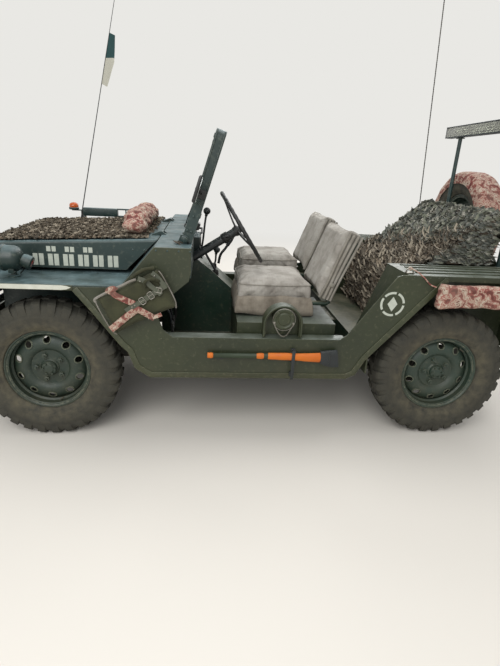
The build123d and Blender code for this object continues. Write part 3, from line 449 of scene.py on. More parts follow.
def tyre_rubber():
    """Weathered black rubber: brown dust on the walls, thickest near the bead, and pale grit in streaks."""
    material, tree, shader, place = new_material("dusty_moulded_rubber", 0.86)
    base = mixed(tree, blotches(tree, place, 150, 0.3, 0.7, 6.0), "#1b1c19", "#2a2b26")
    reach = add(tree, "ShaderNodeAttribute", {"attribute_name": "from_axle"}).outputs["Fac"]
    near_bead = stretched(tree, reach, 0.31, 0.25, 0.25)
    caked = times(tree, near_bead, blotches(tree, place, 45, 0.3, 0.66, 8.0), 0.8)
    dust = mixed(tree, caked, base, "#565140")
    streak = add(tree, "ShaderNodeTexNoise", {"Scale": 220.0, "Detail": 3.0}, {"Vector": place}).outputs[0]
    grit = mixed(tree, times(tree, streak, 0.16), dust, "#6d6757")
    tree.links.new(grit, shader.inputs["Base Color"])
    raised(tree, shader, blotches(tree, place, 2.2, 0.2, 0.8), 0.5, 0.5)
    return material


rubber = tyre_rubber()
# tyre wall from the bead out to the tread's middle, one side: (station, radius) in millimetres
tyre_wall = [(53.5, 204), (53.5, 220.5), (62, 221), (68, 224), (71, 231), (72, 234), (78, 240), (82, 250),
             (85, 256), (85.8, 262), (87.5, 272), (89.6, 284), (91, 296), (91.6, 300), (90.4, 304),
             (90.6, 316), (89.5, 326), (87, 335), (83, 344), (76, 355), (66, 362), (40, 366), (0, 368)]
carcass_piece = lathed("carcass", tyre_wall + [(-s, r) for s, r in tyre_wall[-2::-1]], 112, rubber)
shade(carcass_piece, 50)
lug_count = 30
# lug section: (station, radius outside, radius inside, half length round the tyre) in millimetres
lug_section = [(5, 376, 360, 17), (34, 376, 360, 19), (66, 374.5, 355, 20), (78, 368, 346, 20.5),
               (87, 355, 336, 21), (91.5, 340, 324, 20), (92, 328, 316, 17)]
lugs = bmesh.new()
for side, lead in ((1, 0.0), (-1, pi / lug_count)):
    rows = []
    for s, outer, inner, half in lug_section:
        slant = 0.05 * (s - 50) / 90
        row = []
        for radius, edge in ((inner, -half - 3), (outer, -half), (outer, half), (inner, half + 3)):
            angle = lead + slant + edge / tyre_wall[-1][1]
            row.append(lugs.verts.new((radius * mm * cos(angle), side * s * mm, radius * mm * sin(angle))))
        rows.append(row)
    skin(lugs, rows, True)
    lugs.faces.new(rows[0])
    lugs.faces.new(rows[-1][::-1])
lug_ring = ring_of("lugs", lugs, lug_count, rubber, 25)
valve = bmesh.new()
bmesh.ops.create_cone(valve, cap_ends=True, segments=10, radius1=4 * mm, radius2=3 * mm, depth=28 * mm,
                      matrix=Matrix.Translation((185 * mm, 40 * mm, 0))
                      @ Matrix.Rotation(radians(-62), 4, "X"))
valve_piece = loose_object("valve", valve, rubber)
tyre_model = joined(carcass_piece, lug_ring, valve_piece)
from_axle = tyre_model.data.attributes.new("from_axle", "FLOAT", "POINT")
for vertex, value in zip(tyre_model.data.vertices, from_axle.data):
    value.value = hypot(vertex.co.x, vertex.co.z)


def placed(model, name, where, body, slot, *replaced):
    """Copy of a model turned and set at a place in its mesh, in place of CAD nodes."""
    mesh = model.data.copy()
    mesh.transform(where)
    mesh.name = name
    made = bpy.data.objects.new(name, mesh)
    scene.collection.objects.link(made)
    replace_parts(on_body(made, body), *replaced)


# wheel name, body, centre, turn about the upright: the outer side of the model is +Y
wheel_places = []
for corner, turn_about_z in (("fl", pi), ("fr", 0.0), ("rl", pi), ("rr", 0.0)):
    low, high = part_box("tyre_" + corner)
    wheel_places.append((corner, "wheel_" + corner, (low + high) / 2, turn_about_z))
low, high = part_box("spare_tyre")
wheel_places.append(("spare", "chassis", (low + high) / 2, -pi / 2))
for corner, body, centre, turn_about_z in wheel_places:
    roll = Matrix.Rotation(0.4 + 1.3 * len(corner) + centre.x, 4, "Y")
    where = Matrix.Translation(centre) @ Matrix.Rotation(turn_about_z, 4, "Z") @ roll
    name = "spare_tyre_lugged" if corner == "spare" else "tyre_lugged_" + corner
    placed(tyre_model, name, where, body, "tyre", "spare_tyre" if corner == "spare" else "tyre_" + corner)
bpy.data.objects.remove(tyre_model)

# Rims: pressed steel discs with ten hand holes, riveted into a drop-centre rim, brushed dark
# green; the hole edges are chipped to a pale primer, and five nuts hold each to its hub.
rim_enamel = enamel("dark_green_wheel_enamel", "#1b2a22", "#26382e", "#5f6150", 0.40, 0.4, "#4d4e40",
                    "#3f3e2f")
chipped_primer = enamel("chipped_pale_primer", "#4d5444", "#3a4437", "#8d8c78", 0.6, 0.3)
dull_steel = new_material("dull_zinc_plated_steel", 0.42, 1.0)[0]
dull_steel.node_tree.nodes["Principled BSDF"].inputs["Base Color"].default_value = linear("#8f8c84")
# rim barrel (station, radius), outer side +, from the outer lip in and back, in millimetres
barrel = [(60, 219), (60, 213), (56, 210), (53, 205), (50, 198), (22, 196), (14, 188), (-20, 188),
          (-28, 196), (-52, 198), (-56, 210), (-60, 213), (-60, 219), (-54, 219), (-54, 203.4), (54, 203.4),
          (54, 219)]
rim_piece = lathed("rim", barrel, 96, rim_enamel)
shade(rim_piece, 40)
# pressed disc (station, radius), outer face then inner face, in millimetres
disc_face = [(-18, 189), (0, 187), (8, 182), (20, 168), (30, 148), (34, 128), (30, 112), (20, 101), (15, 96),
             (14, 62), (16, 50), (22, 45)]
disc_line = disc_face + [(s - 6, r) for s, r in disc_face[::-1]]
disc_piece = lathed("disc", disc_line, 100, rim_enamel)
hole_radius, hole_circle, hole_count = 17 * mm, 160 * mm, 10
borer = bmesh.new()
first_hole = Matrix.Rotation(pi / hole_count, 4, "Y") @ Matrix.Translation((hole_circle, 0, 0))
bmesh.ops.create_cone(borer, cap_ends=True, segments=20, radius1=hole_radius, radius2=hole_radius,
                      depth=90 * mm, matrix=first_hole @ Matrix.Rotation(pi / 2, 4, "X"))
borers = ring_of("borers", borer, hole_count, chipped_primer)
cut = disc_piece.modifiers.new("hand_holes", "BOOLEAN")
cut.operation = "DIFFERENCE"
cut.solver = "EXACT"
cut.object = borers
settled_mesh(disc_piece)
bpy.data.objects.remove(borers)
shade(disc_piece, 40)
collar = bmesh.new()
# pressed collar round a hole: radius about the hole in metres, station in millimetres
collar_line = ((hole_radius, 20), (hole_radius, 27.5), (hole_radius + 4 * mm, 26.5),
               (hole_radius + 5.5 * mm, 22))
disc_slope = 0.62
rows = []
for radius, s in collar_line:
    rows.append([collar.verts.new((hole_circle + radius * cos(a), s * mm - radius * cos(a) * disc_slope,
                                   radius * sin(a))) for a in full_turn(20)])
skin(collar, rows, True)
bmesh.ops.rotate(collar, verts=collar.verts, cent=(0, 0, 0), matrix=Matrix.Rotation(pi / hole_count, 3, "Y"))
collars = ring_of("collars", collar, hole_count, chipped_primer)
nut = bmesh.new()
nut_place = Matrix.Translation((69.85 * mm, 0, 0)) @ Matrix.Rotation(-pi / 2, 4, "X")
# seat, hexagon, chamfer, stud and its end: radius low and high, station low and high, sides
for radius_low, radius_high, low, high, sides in ((16, 16, 13, 16, 24), (13.5, 13.5, 15, 27, 6),
                                                  (13.5, 8, 27, 30, 6), (6.5, 6.5, 29, 38, 14),
                                                  (6.5, 5, 38, 39.5, 14)):
    bmesh.ops.create_cone(nut, cap_ends=True, segments=sides, radius1=radius_low * mm,
                          radius2=radius_high * mm, depth=(high - low) * mm,
                          matrix=nut_place @ Matrix.Translation((0, 0, (low + high) / 2 * mm)))
nuts = ring_of("nuts", nut, 5, rim_enamel)
hub_line = [(14, 52), (20, 45), (22, 40), (34, 38), (38, 35), (39, 30), (41, 24), (44, 22), (45, 18),
            (45, 0.01)]
hub_piece = lathed("hub", hub_line, 40, rim_enamel, False)
shade(hub_piece, 35)
hub_bolt = bmesh.new()
bmesh.ops.create_cone(hub_bolt, cap_ends=True, segments=6, radius1=6 * mm, radius2=6 * mm, depth=6 * mm,
                      matrix=Matrix.Translation((30 * mm, 46 * mm, 0)) @ Matrix.Rotation(pi / 2, 4, "X"))
hub_bolts = ring_of("hub_bolts", hub_bolt, 6, rim_enamel)
drum_line = [(-8, 0.01), (-8, 92), (-16, 100), (-16, 134), (-20, 138), (-30, 140), (-32, 137), (-38, 137),
             (-40, 140), (-44, 140), (-44, 21)]
drum_piece = lathed("drum", drum_line, 60, underseal, False)
shade(drum_piece, 35)
rim_model = joined(rim_piece, disc_piece, collars)
hub_model = joined(nuts, hub_piece, hub_bolts, drum_piece)
for corner, body, centre, turn_about_z in wheel_places:
    where = Matrix.Translation(centre) @ Matrix.Rotation(turn_about_z, 4, "Z")
    if corner == "spare":
        placed(rim_model, "spare_rim_pressed", where, body, "wheel_paint", "spare_rim")
    else:
        placed(rim_model, "rim_pressed_" + corner, where, body, "wheel_paint", "rim_" + corner)
        placed(hub_model, "hub_and_drum_" + corner, where, body, "wheel_paint")
bpy.data.objects.remove(rim_model)
bpy.data.objects.remove(hub_model)


# Front seats: foam pads in slip covers of off-white cotton canvas, sewn with a seam round the
# top, and a loose skirt that hangs over the tube frame; soft folds and grey wear on top.
def woven(name, colour, dark, pale, thread_mm, weave_depth=0.25, stain="#6e6455"):
    """Plain-woven cloth: crossed threads, drawn as coarse as they need to show, with stains."""
    material, tree, shader, place = new_material(name, 0.92)
    tone = mixed(tree, blotches(tree, place, 190, 0.3, 0.7, 5.0), colour, pale)
    worn = mixed(tree, times(tree, blotches(tree, place, 70, 0.45, 0.72, 7.0), 0.75), tone, dark)
    spot = mixed(tree, times(tree, blotches(tree, place, 320, 0.52, 0.75, 6.0), 0.55), worn, stain)
    threads = []
    for turn in ((0.0, 0.0, 0.0), (0.0, 0.0, pi / 2), (0.0, pi / 2, 0.0)):
        turned = add(tree, "ShaderNodeMapping", {"Rotation": turn}, {"Vector": place}).outputs[0]
        wave = {"Scale": 1000.0 / thread_mm / 20, "Distortion": 1.2, "Detail": 2.0, "Detail Scale": 1.5}
        threads.append(add(tree, "ShaderNodeTexWave", wave, {"Vector": turned}).outputs["Fac"])
    weave = times(tree, maths(tree, "ADD", threads[0], threads[1]), 0.5)
    weave = maths(tree, "ADD", weave, times(tree, threads[2], 0.5))
    shaded = mixed(tree, times(tree, weave, 0.10), spot, dark)
    tree.links.new(shaded, shader.inputs["Base Color"])
    raised(tree, shader, weave, weave_depth, 0.6)
    return material


seat_canvas = woven("off_white_cotton_canvas", "#8d8880", "#6a645b", "#a8a49c", 2.4, 0.3, "#6f6454")
# the skirt that hangs below the cushion is drawn in a darker, browner copy of the cover's canvas
skirt_canvas = woven("darker_skirt_canvas", "#766d60", "#4e473d", "#8f877a", 2.4, 0.3, "#4a4236")
piping_cord = woven("sewn_canvas_piping", "#7b766c", "#575148", "#97938a", 1.6, 0.2)


def pad_block(centre, size, tilt, taper=0.0):
    """Closed box of a pad before it is filled, its top pulled in by a taper."""
    shape = bmesh.new()
    bmesh.ops.create_cube(shape, size=1.0)
    for vertex in shape.verts:
        pull = 1 - taper if vertex.co.z > 0 else 1.0
        vertex.co = vertex.co * Vector((size[0] * pull, size[1] * pull, size[2]))
    bmesh.ops.bevel(shape, geom=list(shape.edges), offset=min(size) * 0.22, segments=3, affect="EDGES",
                    profile=0.6)
    shape.transform(Matrix.Translation(centre) @ Matrix.Rotation(tilt, 4, "Y"))
    return shape


def filled(name, shape, material, body, voxel_mm=6, pressure=4.0, cap_mm=22):
    """Pad swollen by cloth pressure, no point moving more than a cap."""
    made = piece(name, shape, material, body)
    made.parent = None
    remesh = made.modifiers.new("even", "REMESH")
    remesh.mode = "VOXEL"
    remesh.voxel_size = voxel_mm * mm
    settled_mesh(made)
    rest = [v.co.copy() for v in made.data.vertices]
    cloth = made.modifiers.new("canvas", "CLOTH")
    cloth.settings.quality = 5
    cloth.settings.use_pressure = True
    cloth.settings.uniform_pressure_force = pressure
    cloth.settings.effector_weights.gravity = 0
    cloth.settings.tension_stiffness = 12
    cloth.settings.compression_stiffness = 12
    cloth.settings.bending_stiffness = 0.4
    cloth.collision_settings.use_collision = False
    cloth.point_cache.frame_start = 1
    cloth.point_cache.frame_end = 20
    for step in range(1, 21):
        scene.frame_set(step)
    settled_mesh(made)
    scene.frame_set(1)
    cap = cap_mm * mm
    for vertex, start in zip(made.data.vertices, rest):
        move = vertex.co - start
        if move.length > cap:
            vertex.co = start + move.normalized() * cap
    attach(made, body)
    return made


def folds(made, depth_mm, wave_mm, seed, stretch=(1, 1, 1)):
    """Soft creases pushed along the surface, deeper where two waves meet, shaded smooth."""
    mesh = made.data
    normals = [v.normal.copy() for v in mesh.vertices]
    shift = Vector((seed * 3.1, seed * 1.7, seed * 0.9))
    for vertex, normal in zip(mesh.vertices, normals):
        q = vertex.co * Vector(stretch) / (wave_mm * mm)
        bend = noise.noise_vector(q * 0.5 + shift) * 0.9
        crease = 1 - abs(noise.noise(q + bend + shift)) * 2.2
        fine = noise.noise(q * 2.7 + shift)
        amount = (max(crease, -0.4) * 0.75 + fine * 0.3) * depth_mm * mm
        vertex.co -= normal * amount
    shade(made, 80)


seat_places = []
seat_pads = {}
seat_half = 225 * mm
seat_y = 365 * mm
cushion_z_low, cushion_z_high = 742 * mm, 850 * mm
cushion_front_x = front_axle_x + 985 * mm
cushion_rear_x = front_axle_x + 1420 * mm
back_lean = radians(21)
# seat name, side, shift to the rear, how slack its canvas is
for seat_name, side, shift, slack in (("driver", -1, 0.0, 1.0), ("passenger", 1, 60 * mm, 1.3)):
    middle = Vector(((cushion_front_x + cushion_rear_x) / 2 + shift, side * seat_y,
                     (cushion_z_low + cushion_z_high) / 2))
    shape = pad_block(middle, (430 * mm, 2 * seat_half - 6 * mm, 98 * mm), 0.0, 0.03)
    seat_pad = filled(seat_name + "_seat_pad", shape, seat_canvas, "chassis")
    folds(seat_pad, 3.2 * slack, 105, 2.0 + side, (1.0, 0.45, 1.0))
    foot = Vector((front_axle_x + 1432 * mm + shift, side * seat_y, 775 * mm))
    along = Vector((sin(back_lean), 0, cos(back_lean)))
    out = Vector((cos(back_lean), 0, -sin(back_lean)))
    middle = foot + along * 206 * mm + out * 47 * mm
    shape = pad_block(middle, (80 * mm, 2 * seat_half - 14 * mm, 400 * mm), back_lean)
    seat_back = filled(seat_name + "_seat_back", shape, seat_canvas, "chassis", cap_mm=16)
    folds(seat_back, 3.0 * slack, 120, 5.0 + side, (1.0, 0.5, 0.7))
    seat_places.append((seat_name, side, shift))
    seat_pads[seat_name] = seat_pad
    if side < 0:
        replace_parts(seat_pad, "seat_cushions")


def tube(shape, points, radius, sides=8, closed=False):
    """Adds a round bar that follows points; a list of radii tapers it."""
    count = len(points)
    radii = radius if isinstance(radius, (list, tuple)) else [radius] * count
    points = [Vector(p) for p in points]
    rings = []
    normal = None
    for i, point in enumerate(points):
        before = points[i - 1] if i or closed else point
        after = points[(i + 1) % count] if i < count - 1 or closed else point
        tangent = (after - before).normalized()
        if normal is None:
            normal = tangent.orthogonal().normalized()
        normal = (normal - tangent * normal.dot(tangent)).normalized()
        other = tangent.cross(normal)
        rings.append([shape.verts.new(point + (normal * cos(a) + other * sin(a)) * radii[i])
                      for a in full_turn(sides)])
    skin(shape, rings, True, closed)
    if not closed:
        shape.faces.new(rings[0][::-1])
        shape.faces.new(rings[-1])


def smooth_path(points, steps=6, closed=False):
    """Points of a rounded path through the given ones."""
    points = [Vector(p) for p in points]
    count = len(points)
    result = []
    for i in range(count if closed else count - 1):
        a, b, c, d = (points[(i + k) % count] if closed else points[min(max(i + k, 0), count - 1)]
                      for k in (-1, 0, 1, 2))
        for j in range(steps):
            t = j / steps
            result.append(0.5 * ((2 * b) + (c - a) * t + (2 * a - 5 * b + 4 * c - d) * t * t
                                 + (3 * b - a - 3 * c + d) * t ** 3))
    if not closed:
        result.append(points[-1])
    return result


def rounded_loop(x_low, x_high, y_low, y_high, corner, z, steps=6):
    """Points round a rectangle with round corners at one height."""
    loop = []
    for cx, cy, start in ((x_high - corner, y_high - corner, 0), (x_low + corner, y_high - corner, pi / 2),
                          (x_low + corner, y_low + corner, pi),
                          (x_high - corner, y_low + corner, 3 * pi / 2)):
        for i in range(steps + 1):
            a = start + pi / 2 * i / steps
            loop.append(Vector((cx + corner * cos(a), cy + corner * sin(a), z)))
    return loop


def brick(shape, centre, size_mm, turn=Matrix(), round_mm=2.0):
    """Adds a block with rounded edges."""
    where = Matrix.Translation(centre) @ turn.to_4x4() @ Matrix.Diagonal((*[s * mm for s in size_mm], 1))
    made = bmesh.ops.create_cube(shape, size=1.0, matrix=where)["verts"]
    edges = list({e for v in made for e in v.link_edges})
    bmesh.ops.bevel(shape, geom=edges, offset=round_mm * mm, segments=2, affect="EDGES", profile=0.5)


along_back, out_back = along, out
for seat_name, side, shift in seat_places:
    x_low, x_high = cushion_front_x + shift, cushion_rear_x + shift
    y_low, y_high = side * seat_y - seat_half, side * seat_y + seat_half
    seam = bmesh.new()
    for z, inset in ((cushion_z_high - 16 * mm, 3 * mm), (cushion_z_low + 14 * mm, -2 * mm)):
        loop = rounded_loop(x_low + inset, x_high - inset, y_low + inset, y_high - inset, 34 * mm, z, 8)
        loop = [p + Vector((0, 0, noise.noise(p * 9) * 6 * mm)) for p in loop]
        seam_points = []
        for p in smooth_path(loop, 3, True):
            spot, facing = seat_pads[seat_name].closest_point_on_mesh(p)[1:3]
            seam_points.append(spot + facing * 1.2 * mm)
        tube(seam, seam_points, 3.2 * mm, 6, True)
    piece(seat_name + "_seat_piping", seam, piping_cord, "chassis", 60)
    skirt = bmesh.new()
    drop = [0, 0.2, 0.45, 0.72, 1.0]
    waist = rounded_loop(x_low - 2 * mm, x_high + 2 * mm, y_low - 2 * mm, y_high + 2 * mm, 30 * mm, 0)
    path = smooth_path(waist, 9, True)
    rows = []
    for share_down in drop:
        row = []
        for i, p in enumerate(path):
            away = (p - Vector(((x_low + x_high) / 2, (y_low + y_high) / 2, 0))).normalized()
            wave = noise.noise(Vector((p.x * 14, p.y * 14, seat_y + share_down * 0.4)))
            hem = 96 * mm + 14 * mm * noise.noise(Vector((p.x * 6, p.y * 6, side)))
            top = p + Vector((0, 0, cushion_z_low + 18 * mm))
            hung = top + away * (wave * 8 * mm * share_down) - Vector((0, 0, hem * share_down))
            spot, facing = seat_pads[seat_name].closest_point_on_mesh(top)[1:3]
            tucked = spot + facing * 2 * mm
            row.append(skirt.verts.new(tucked.lerp(hung, min(1.0, share_down * 1.6))))
        rows.append(row)
    skin(skirt, rows, True)
    made = piece(seat_name + "_seat_skirt", skirt, skirt_canvas, "chassis", 80)
    wall_of_cloth = made.modifiers.new("cloth_wall", "SOLIDIFY")
    wall_of_cloth.thickness = 1.6 * mm
    wall_of_cloth.offset = 0
    # folded layers of the cover along the back's near side, pinned by a small dark buckle
    foot = Vector((cushion_rear_x + 12 * mm + shift, side * seat_y - seat_half + 4 * mm, 775 * mm))
    pleats = bmesh.new()
    for k, (depth, wide) in enumerate(((18, 17), (40, 20), (63, 18), (84, 14))):
        ends = [foot + along_back * h * mm + out_back * (depth + 3 * sin(h * 0.013 + k)) * mm
                + Vector((0, (-3 - 2 * sin(h * 0.02 + 1.7 * k)) * mm, 0)) for h in range(8, 396, 24)]
        tube(pleats, smooth_path(ends, 3), wide / 2 * mm, 10)
    made = piece(seat_name + "_seat_back_pleats", pleats, piping_cord, "chassis", 80)
    buckle = bmesh.new()
    brick(buckle, foot + along_back * 96 * mm + out_back * 50 * mm + Vector((0, -13 * mm, 0)), (34, 4, 22),
          Matrix.Rotation(back_lean, 4, "Y"), 1.2)
    piece(seat_name + "_seat_back_buckle", buckle, dull_steel, "chassis", 50)


# Scrim nets on the hood and the rear bench: a knotted base net with strips of dyed cloth
# tied in, which curl into a brown and grey thatch. Camouflage cloth in red and cream is
# rolled at the rear of the hood, under the left deck and round the spare tyre.
leaf_tree, given = node_group("strips_tied_into_a_net",
                              ("Density", "Length", "Width", "Curl", "Lean", "Spread"), ("Seed",))
spots = add(leaf_tree, "GeometryNodeDistributePointsOnFaces", {"distribute_method": "RANDOM"},
            {"Mesh": given["Geometry"], "Density": given["Density"], "Seed": given["Seed"]})
strip = add(leaf_tree, "GeometryNodeMeshGrid", {"Vertices X": 6, "Vertices Y": 2},
            {"Size X": given["Length"], "Size Y": given["Width"]})
spot = add(leaf_tree, "GeometryNodeInputPosition").outputs[0]
run = add(leaf_tree, "ShaderNodeSeparateXYZ", (), {0: spot}).outputs[0]
share = maths(leaf_tree, "DIVIDE", run, given["Length"])
arch = maths(leaf_tree, "MULTIPLY", maths(leaf_tree, "MULTIPLY", share, run), given["Curl"])
lifted = add(leaf_tree, "ShaderNodeCombineXYZ", (), {2: arch}).outputs[0]
curled = add(leaf_tree, "GeometryNodeSetPosition", (),
             {"Geometry": strip.outputs[0], "Offset": lifted}).outputs[0]
spun_spot = add(leaf_tree, "ShaderNodeVectorRotate", {"rotation_type": "X_AXIS"},
                {0: spot, "Angle": maths(leaf_tree, "MULTIPLY", share, 2.6)}).outputs[0]
curled = add(leaf_tree, "GeometryNodeSetPosition", (), {"Geometry": curled, "Position": spun_spot})
lean_low = maths(leaf_tree, "MULTIPLY", given["Lean"], -1.0)
low_turn = add(leaf_tree, "ShaderNodeCombineXYZ", (), {0: lean_low, 1: lean_low})
high_turn = add(leaf_tree, "ShaderNodeCombineXYZ", (),
                {0: given["Lean"], 1: given["Lean"], 2: given["Spread"]})
any_turn = add(leaf_tree, "FunctionNodeRandomValue", {"data_type": "FLOAT_VECTOR"},
               {0: low_turn.outputs[0], 1: high_turn.outputs[0], "Seed": given["Seed"]})
facing = add(leaf_tree, "FunctionNodeRotateRotation", {"rotation_space": "LOCAL"},
             {0: spots.outputs["Rotation"], 1: any_turn.outputs[0]})
any_size = add(leaf_tree, "FunctionNodeRandomValue", {"data_type": "FLOAT", 2: 0.55, 3: 1.35},
               {"Seed": given["Seed"]})
strips = add(leaf_tree, "GeometryNodeInstanceOnPoints", (),
             {"Points": spots.outputs[0], "Instance": curled.outputs[0], "Rotation": facing.outputs[0],
              "Scale": any_size.outputs[1]})
any_tone = add(leaf_tree, "FunctionNodeRandomValue", {"data_type": "FLOAT", 2: 0.0, 3: 1.0},
               {"Seed": given["Seed"]})
toned = add(leaf_tree, "GeometryNodeStoreNamedAttribute",
            {"data_type": "FLOAT", "domain": "INSTANCE", "Name": "tone"},
            {"Geometry": strips.outputs[0], "Value": any_tone.outputs[1]})
close_group(leaf_tree, toned.outputs[0], given["Material"])


def steps_of(tree, value, tones):
    """Colour out of hard steps, each a share at which it starts and its colour."""
    ramp = add(tree, "ShaderNodeValToRGB", (), {0: value})
    ramp.color_ramp.interpolation = "CONSTANT"
    stops = ramp.color_ramp.elements
    while len(stops) < len(tones):
        stops.new(0.5)
    for i, (start, colour) in enumerate(tones):
        stops[i].position = start
        stops[i].color = linear(colour)
    return ramp.outputs[0]


def strip_cloth(name, *tones):
    """Dyed strips of thin cotton, each of one tone out of a few, faded in patches."""
    material, tree, shader, place = new_material(name, 0.95)
    tone = add(tree, "ShaderNodeAttribute", {"attribute_name": "tone"}).outputs["Fac"]
    dyed = steps_of(tree, tone, [(i / len(tones), colour) for i, colour in enumerate(tones)])
    faded = mixed(tree, times(tree, blotches(tree, place, 14, 0.4, 0.7, 5.0), 0.4), dyed, "#8a8374")
    tree.links.new(faded, shader.inputs["Base Color"])
    raised(tree, shader, blotches(tree, place, 1.5, 0.2, 0.8), 0.3, 0.5)
    return material


def camouflage(name, *tones):
    """Cotton printed in small hard-edged mottles, each 15 to 50 mm, over a pale ground."""
    material, tree, shader, place = new_material(name, 0.93)
    mottle = {"Scale": 26.0, "Detail": 2.5, "Roughness": 0.55, "Distortion": 0.6}
    printed = steps_of(tree, add(tree, "ShaderNodeTexNoise", mottle, {"Vector": place}).outputs[0], tones)
    dusty = mixed(tree, times(tree, blotches(tree, place, 120, 0.35, 0.75, 5.0), 0.35), printed, "#8b7d6e")
    tree.links.new(dusty, shader.inputs["Base Color"])
    raised(tree, shader, blotches(tree, place, 1.8, 0.2, 0.8), 0.4, 0.6)
    return material


brown_strips = strip_cloth("brown_dyed_scrim_strips", "#453a2b", "#665746", "#7d705f", "#554c3f", "#918776",
                           "#352d22")
grey_strips = strip_cloth("grey_green_scrim_strips", "#6d706b", "#81827a", "#5a5f5a", "#929085", "#676b5d",
                          "#4c514c")
net_twine = woven("dark_knotted_twine", "#2d261d", "#1b1712", "#453b2e", 3.0)
red_camouflage = camouflage("red_and_cream_printed_cotton", (0.0, "#5c2c27"), (0.40, "#7b4039"),
                            (0.47, "#a58c7c"), (0.53, "#915a50"), (0.57, "#b3a493"), (0.64, "#6d4239"))


def draped(name, line, y_low, y_high, lump_mm, wave_mm, seed, material, body, across=44, per_mm=28):
    """Sheet laid along an outline of (x, z) from one side to the other, with lumps pushed up."""
    stations = []
    for (xa, za), (xb, zb) in zip(line, line[1:]):
        parts = max(1, round(hypot(xb - xa, zb - za) / (per_mm * mm)))
        for i in range(parts):
            stations.append((xa + (xb - xa) * i / parts, za + (zb - za) * i / parts))
    stations.append(line[-1])
    shape = bmesh.new()
    rows = []
    for i, (x, z) in enumerate(stations):
        a, b = stations[max(i - 1, 0)], stations[min(i + 1, len(stations) - 1)]
        run = hypot(b[0] - a[0], b[1] - a[1])
        up = Vector(((a[1] - b[1]) / run, 0, (b[0] - a[0]) / run))
        if up.z < 0 or (abs(up.z) < 0.05 and up.x > 0):
            up = -up
        row = []
        for j in range(across + 1):
            y = y_low + (y_high - y_low) * j / across
            p = Vector((x, y, z))
            lump = noise.noise(p / (wave_mm * mm) + Vector((seed, 0, 0))) * 0.5 + 0.5
            row.append(shape.verts.new(p + up * lump * lump_mm * mm))
        rows.append(row)
    skin(shape, rows)
    return piece(name, shape, material, body, 80)


def with_strips(sheet_piece, name, material, body, seed, density, length_mm, width_mm, curl, lean,
                part=None, spread=2 * pi):
    """Strips tied all over a sheet, or over the faces that a test picks, as a piece of their own."""
    strips_piece = bpy.data.objects.new(name, sheet_piece.data.copy())
    scene.collection.objects.link(strips_piece)
    if part:
        ground = bmesh.new()
        ground.from_mesh(strips_piece.data)
        bmesh.ops.delete(ground, geom=[f for f in ground.faces if not part(f.calc_center_median())],
                         context="FACES")
        ground.to_mesh(strips_piece.data)
        ground.free()
    grown(strips_piece, leaf_tree, {"Density": density, "Length": length_mm * mm, "Width": width_mm * mm,
                                    "Curl": curl, "Lean": lean, "Spread": spread, "Seed": seed,
                                    "Material": material})
    shade(strips_piece, 80)
    return on_body(strips_piece, body)


net_low, net_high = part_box("hood_net")
hood_crown_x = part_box("hood")[0].x + 106 * mm
hood_line = [(net_low.x + 6 * mm, net_low.z + 4 * mm), (hood_crown_x, 1006 * mm),
             (net_high.x - 6 * mm, net_high.z - 16 * mm)]
hood_sheet = draped("hood_net_base", hood_line, net_low.y + 8 * mm, net_high.y - 8 * mm, 10, 90, 3,
                    net_twine, "hood")
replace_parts(hood_sheet, "hood_net")
hood_strips = with_strips(hood_sheet, "hood_net_strips", brown_strips, "hood", 11, 5200, 40, 11, 1.4, 0.22)

# bench cover outline (x from the front axle, z), from the rear top over back and seat to the floor
cover_line = [(2552, 1108), (2500, 1248), (2470, 1258), (2325, 1144), (2172, 1004), (2039, 934), (1958, 882),
              (1944, 783), (1944, 540)]
cover_line = [(front_axle_x + x * mm, z * mm) for x, z in cover_line]
cover_low, cover_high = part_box("bench_cover")
bench_sheet = draped("bench_cover_base", cover_line, cover_low.y + 6 * mm, cover_high.y - 6 * mm, 10, 130, 8,
                     net_twine, "chassis", 40, 32)
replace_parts(bench_sheet, "bench_cover")
brown_reach = front_axle_x + 2240 * mm
bench_strips = with_strips(bench_sheet, "bench_net_strands", brown_strips, "chassis", 5, 2100, 120, 10,
                           1.5, 0.28, lambda spot: spot.x + 0.25 * spot.y < brown_reach, 0.9)
bench_scraps = with_strips(bench_sheet, "bench_net_scraps", grey_strips, "chassis", 9, 2600, 56, 20,
                           1.2, 0.25, lambda spot: spot.x + 0.25 * spot.y > brown_reach - 0.08)

# the net's near edge falls over the bench's left side, down to the deck
side_line = smooth_path([(x, 0, z) for x, z in cover_line[1:6]], 7)
hem_z = 962 * mm
side_fall = bmesh.new()
side_rows = []
for i, top in enumerate(side_line):
    if top.z > hem_z + 12 * mm:
        out = 3 * sin(i * 0.9) + 3 * sin(i * 0.37)
        side_rows.append([side_fall.verts.new(Vector((
            top.x + 10 * mm * (top.z - hem_z) * k / 7, cover_low.y + (5 - (out + 5) * k / 7) * mm,
            top.z + (hem_z - top.z) * k / 7))) for k in range(8)])
skin(side_fall, side_rows)
side_area = sum(face.calc_area() for face in side_fall.faces)
side_net = piece("bench_cover_side_fall", side_fall, net_twine, "chassis", 80)
side_strips = with_strips(side_net, "bench_side_strands", grey_strips, "chassis", 13, 3000, 60, 16, 1.0, 0.2,
                          None, 0.8)

bundle_low, bundle_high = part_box("cloth_bundle")
shape = bmesh.new()
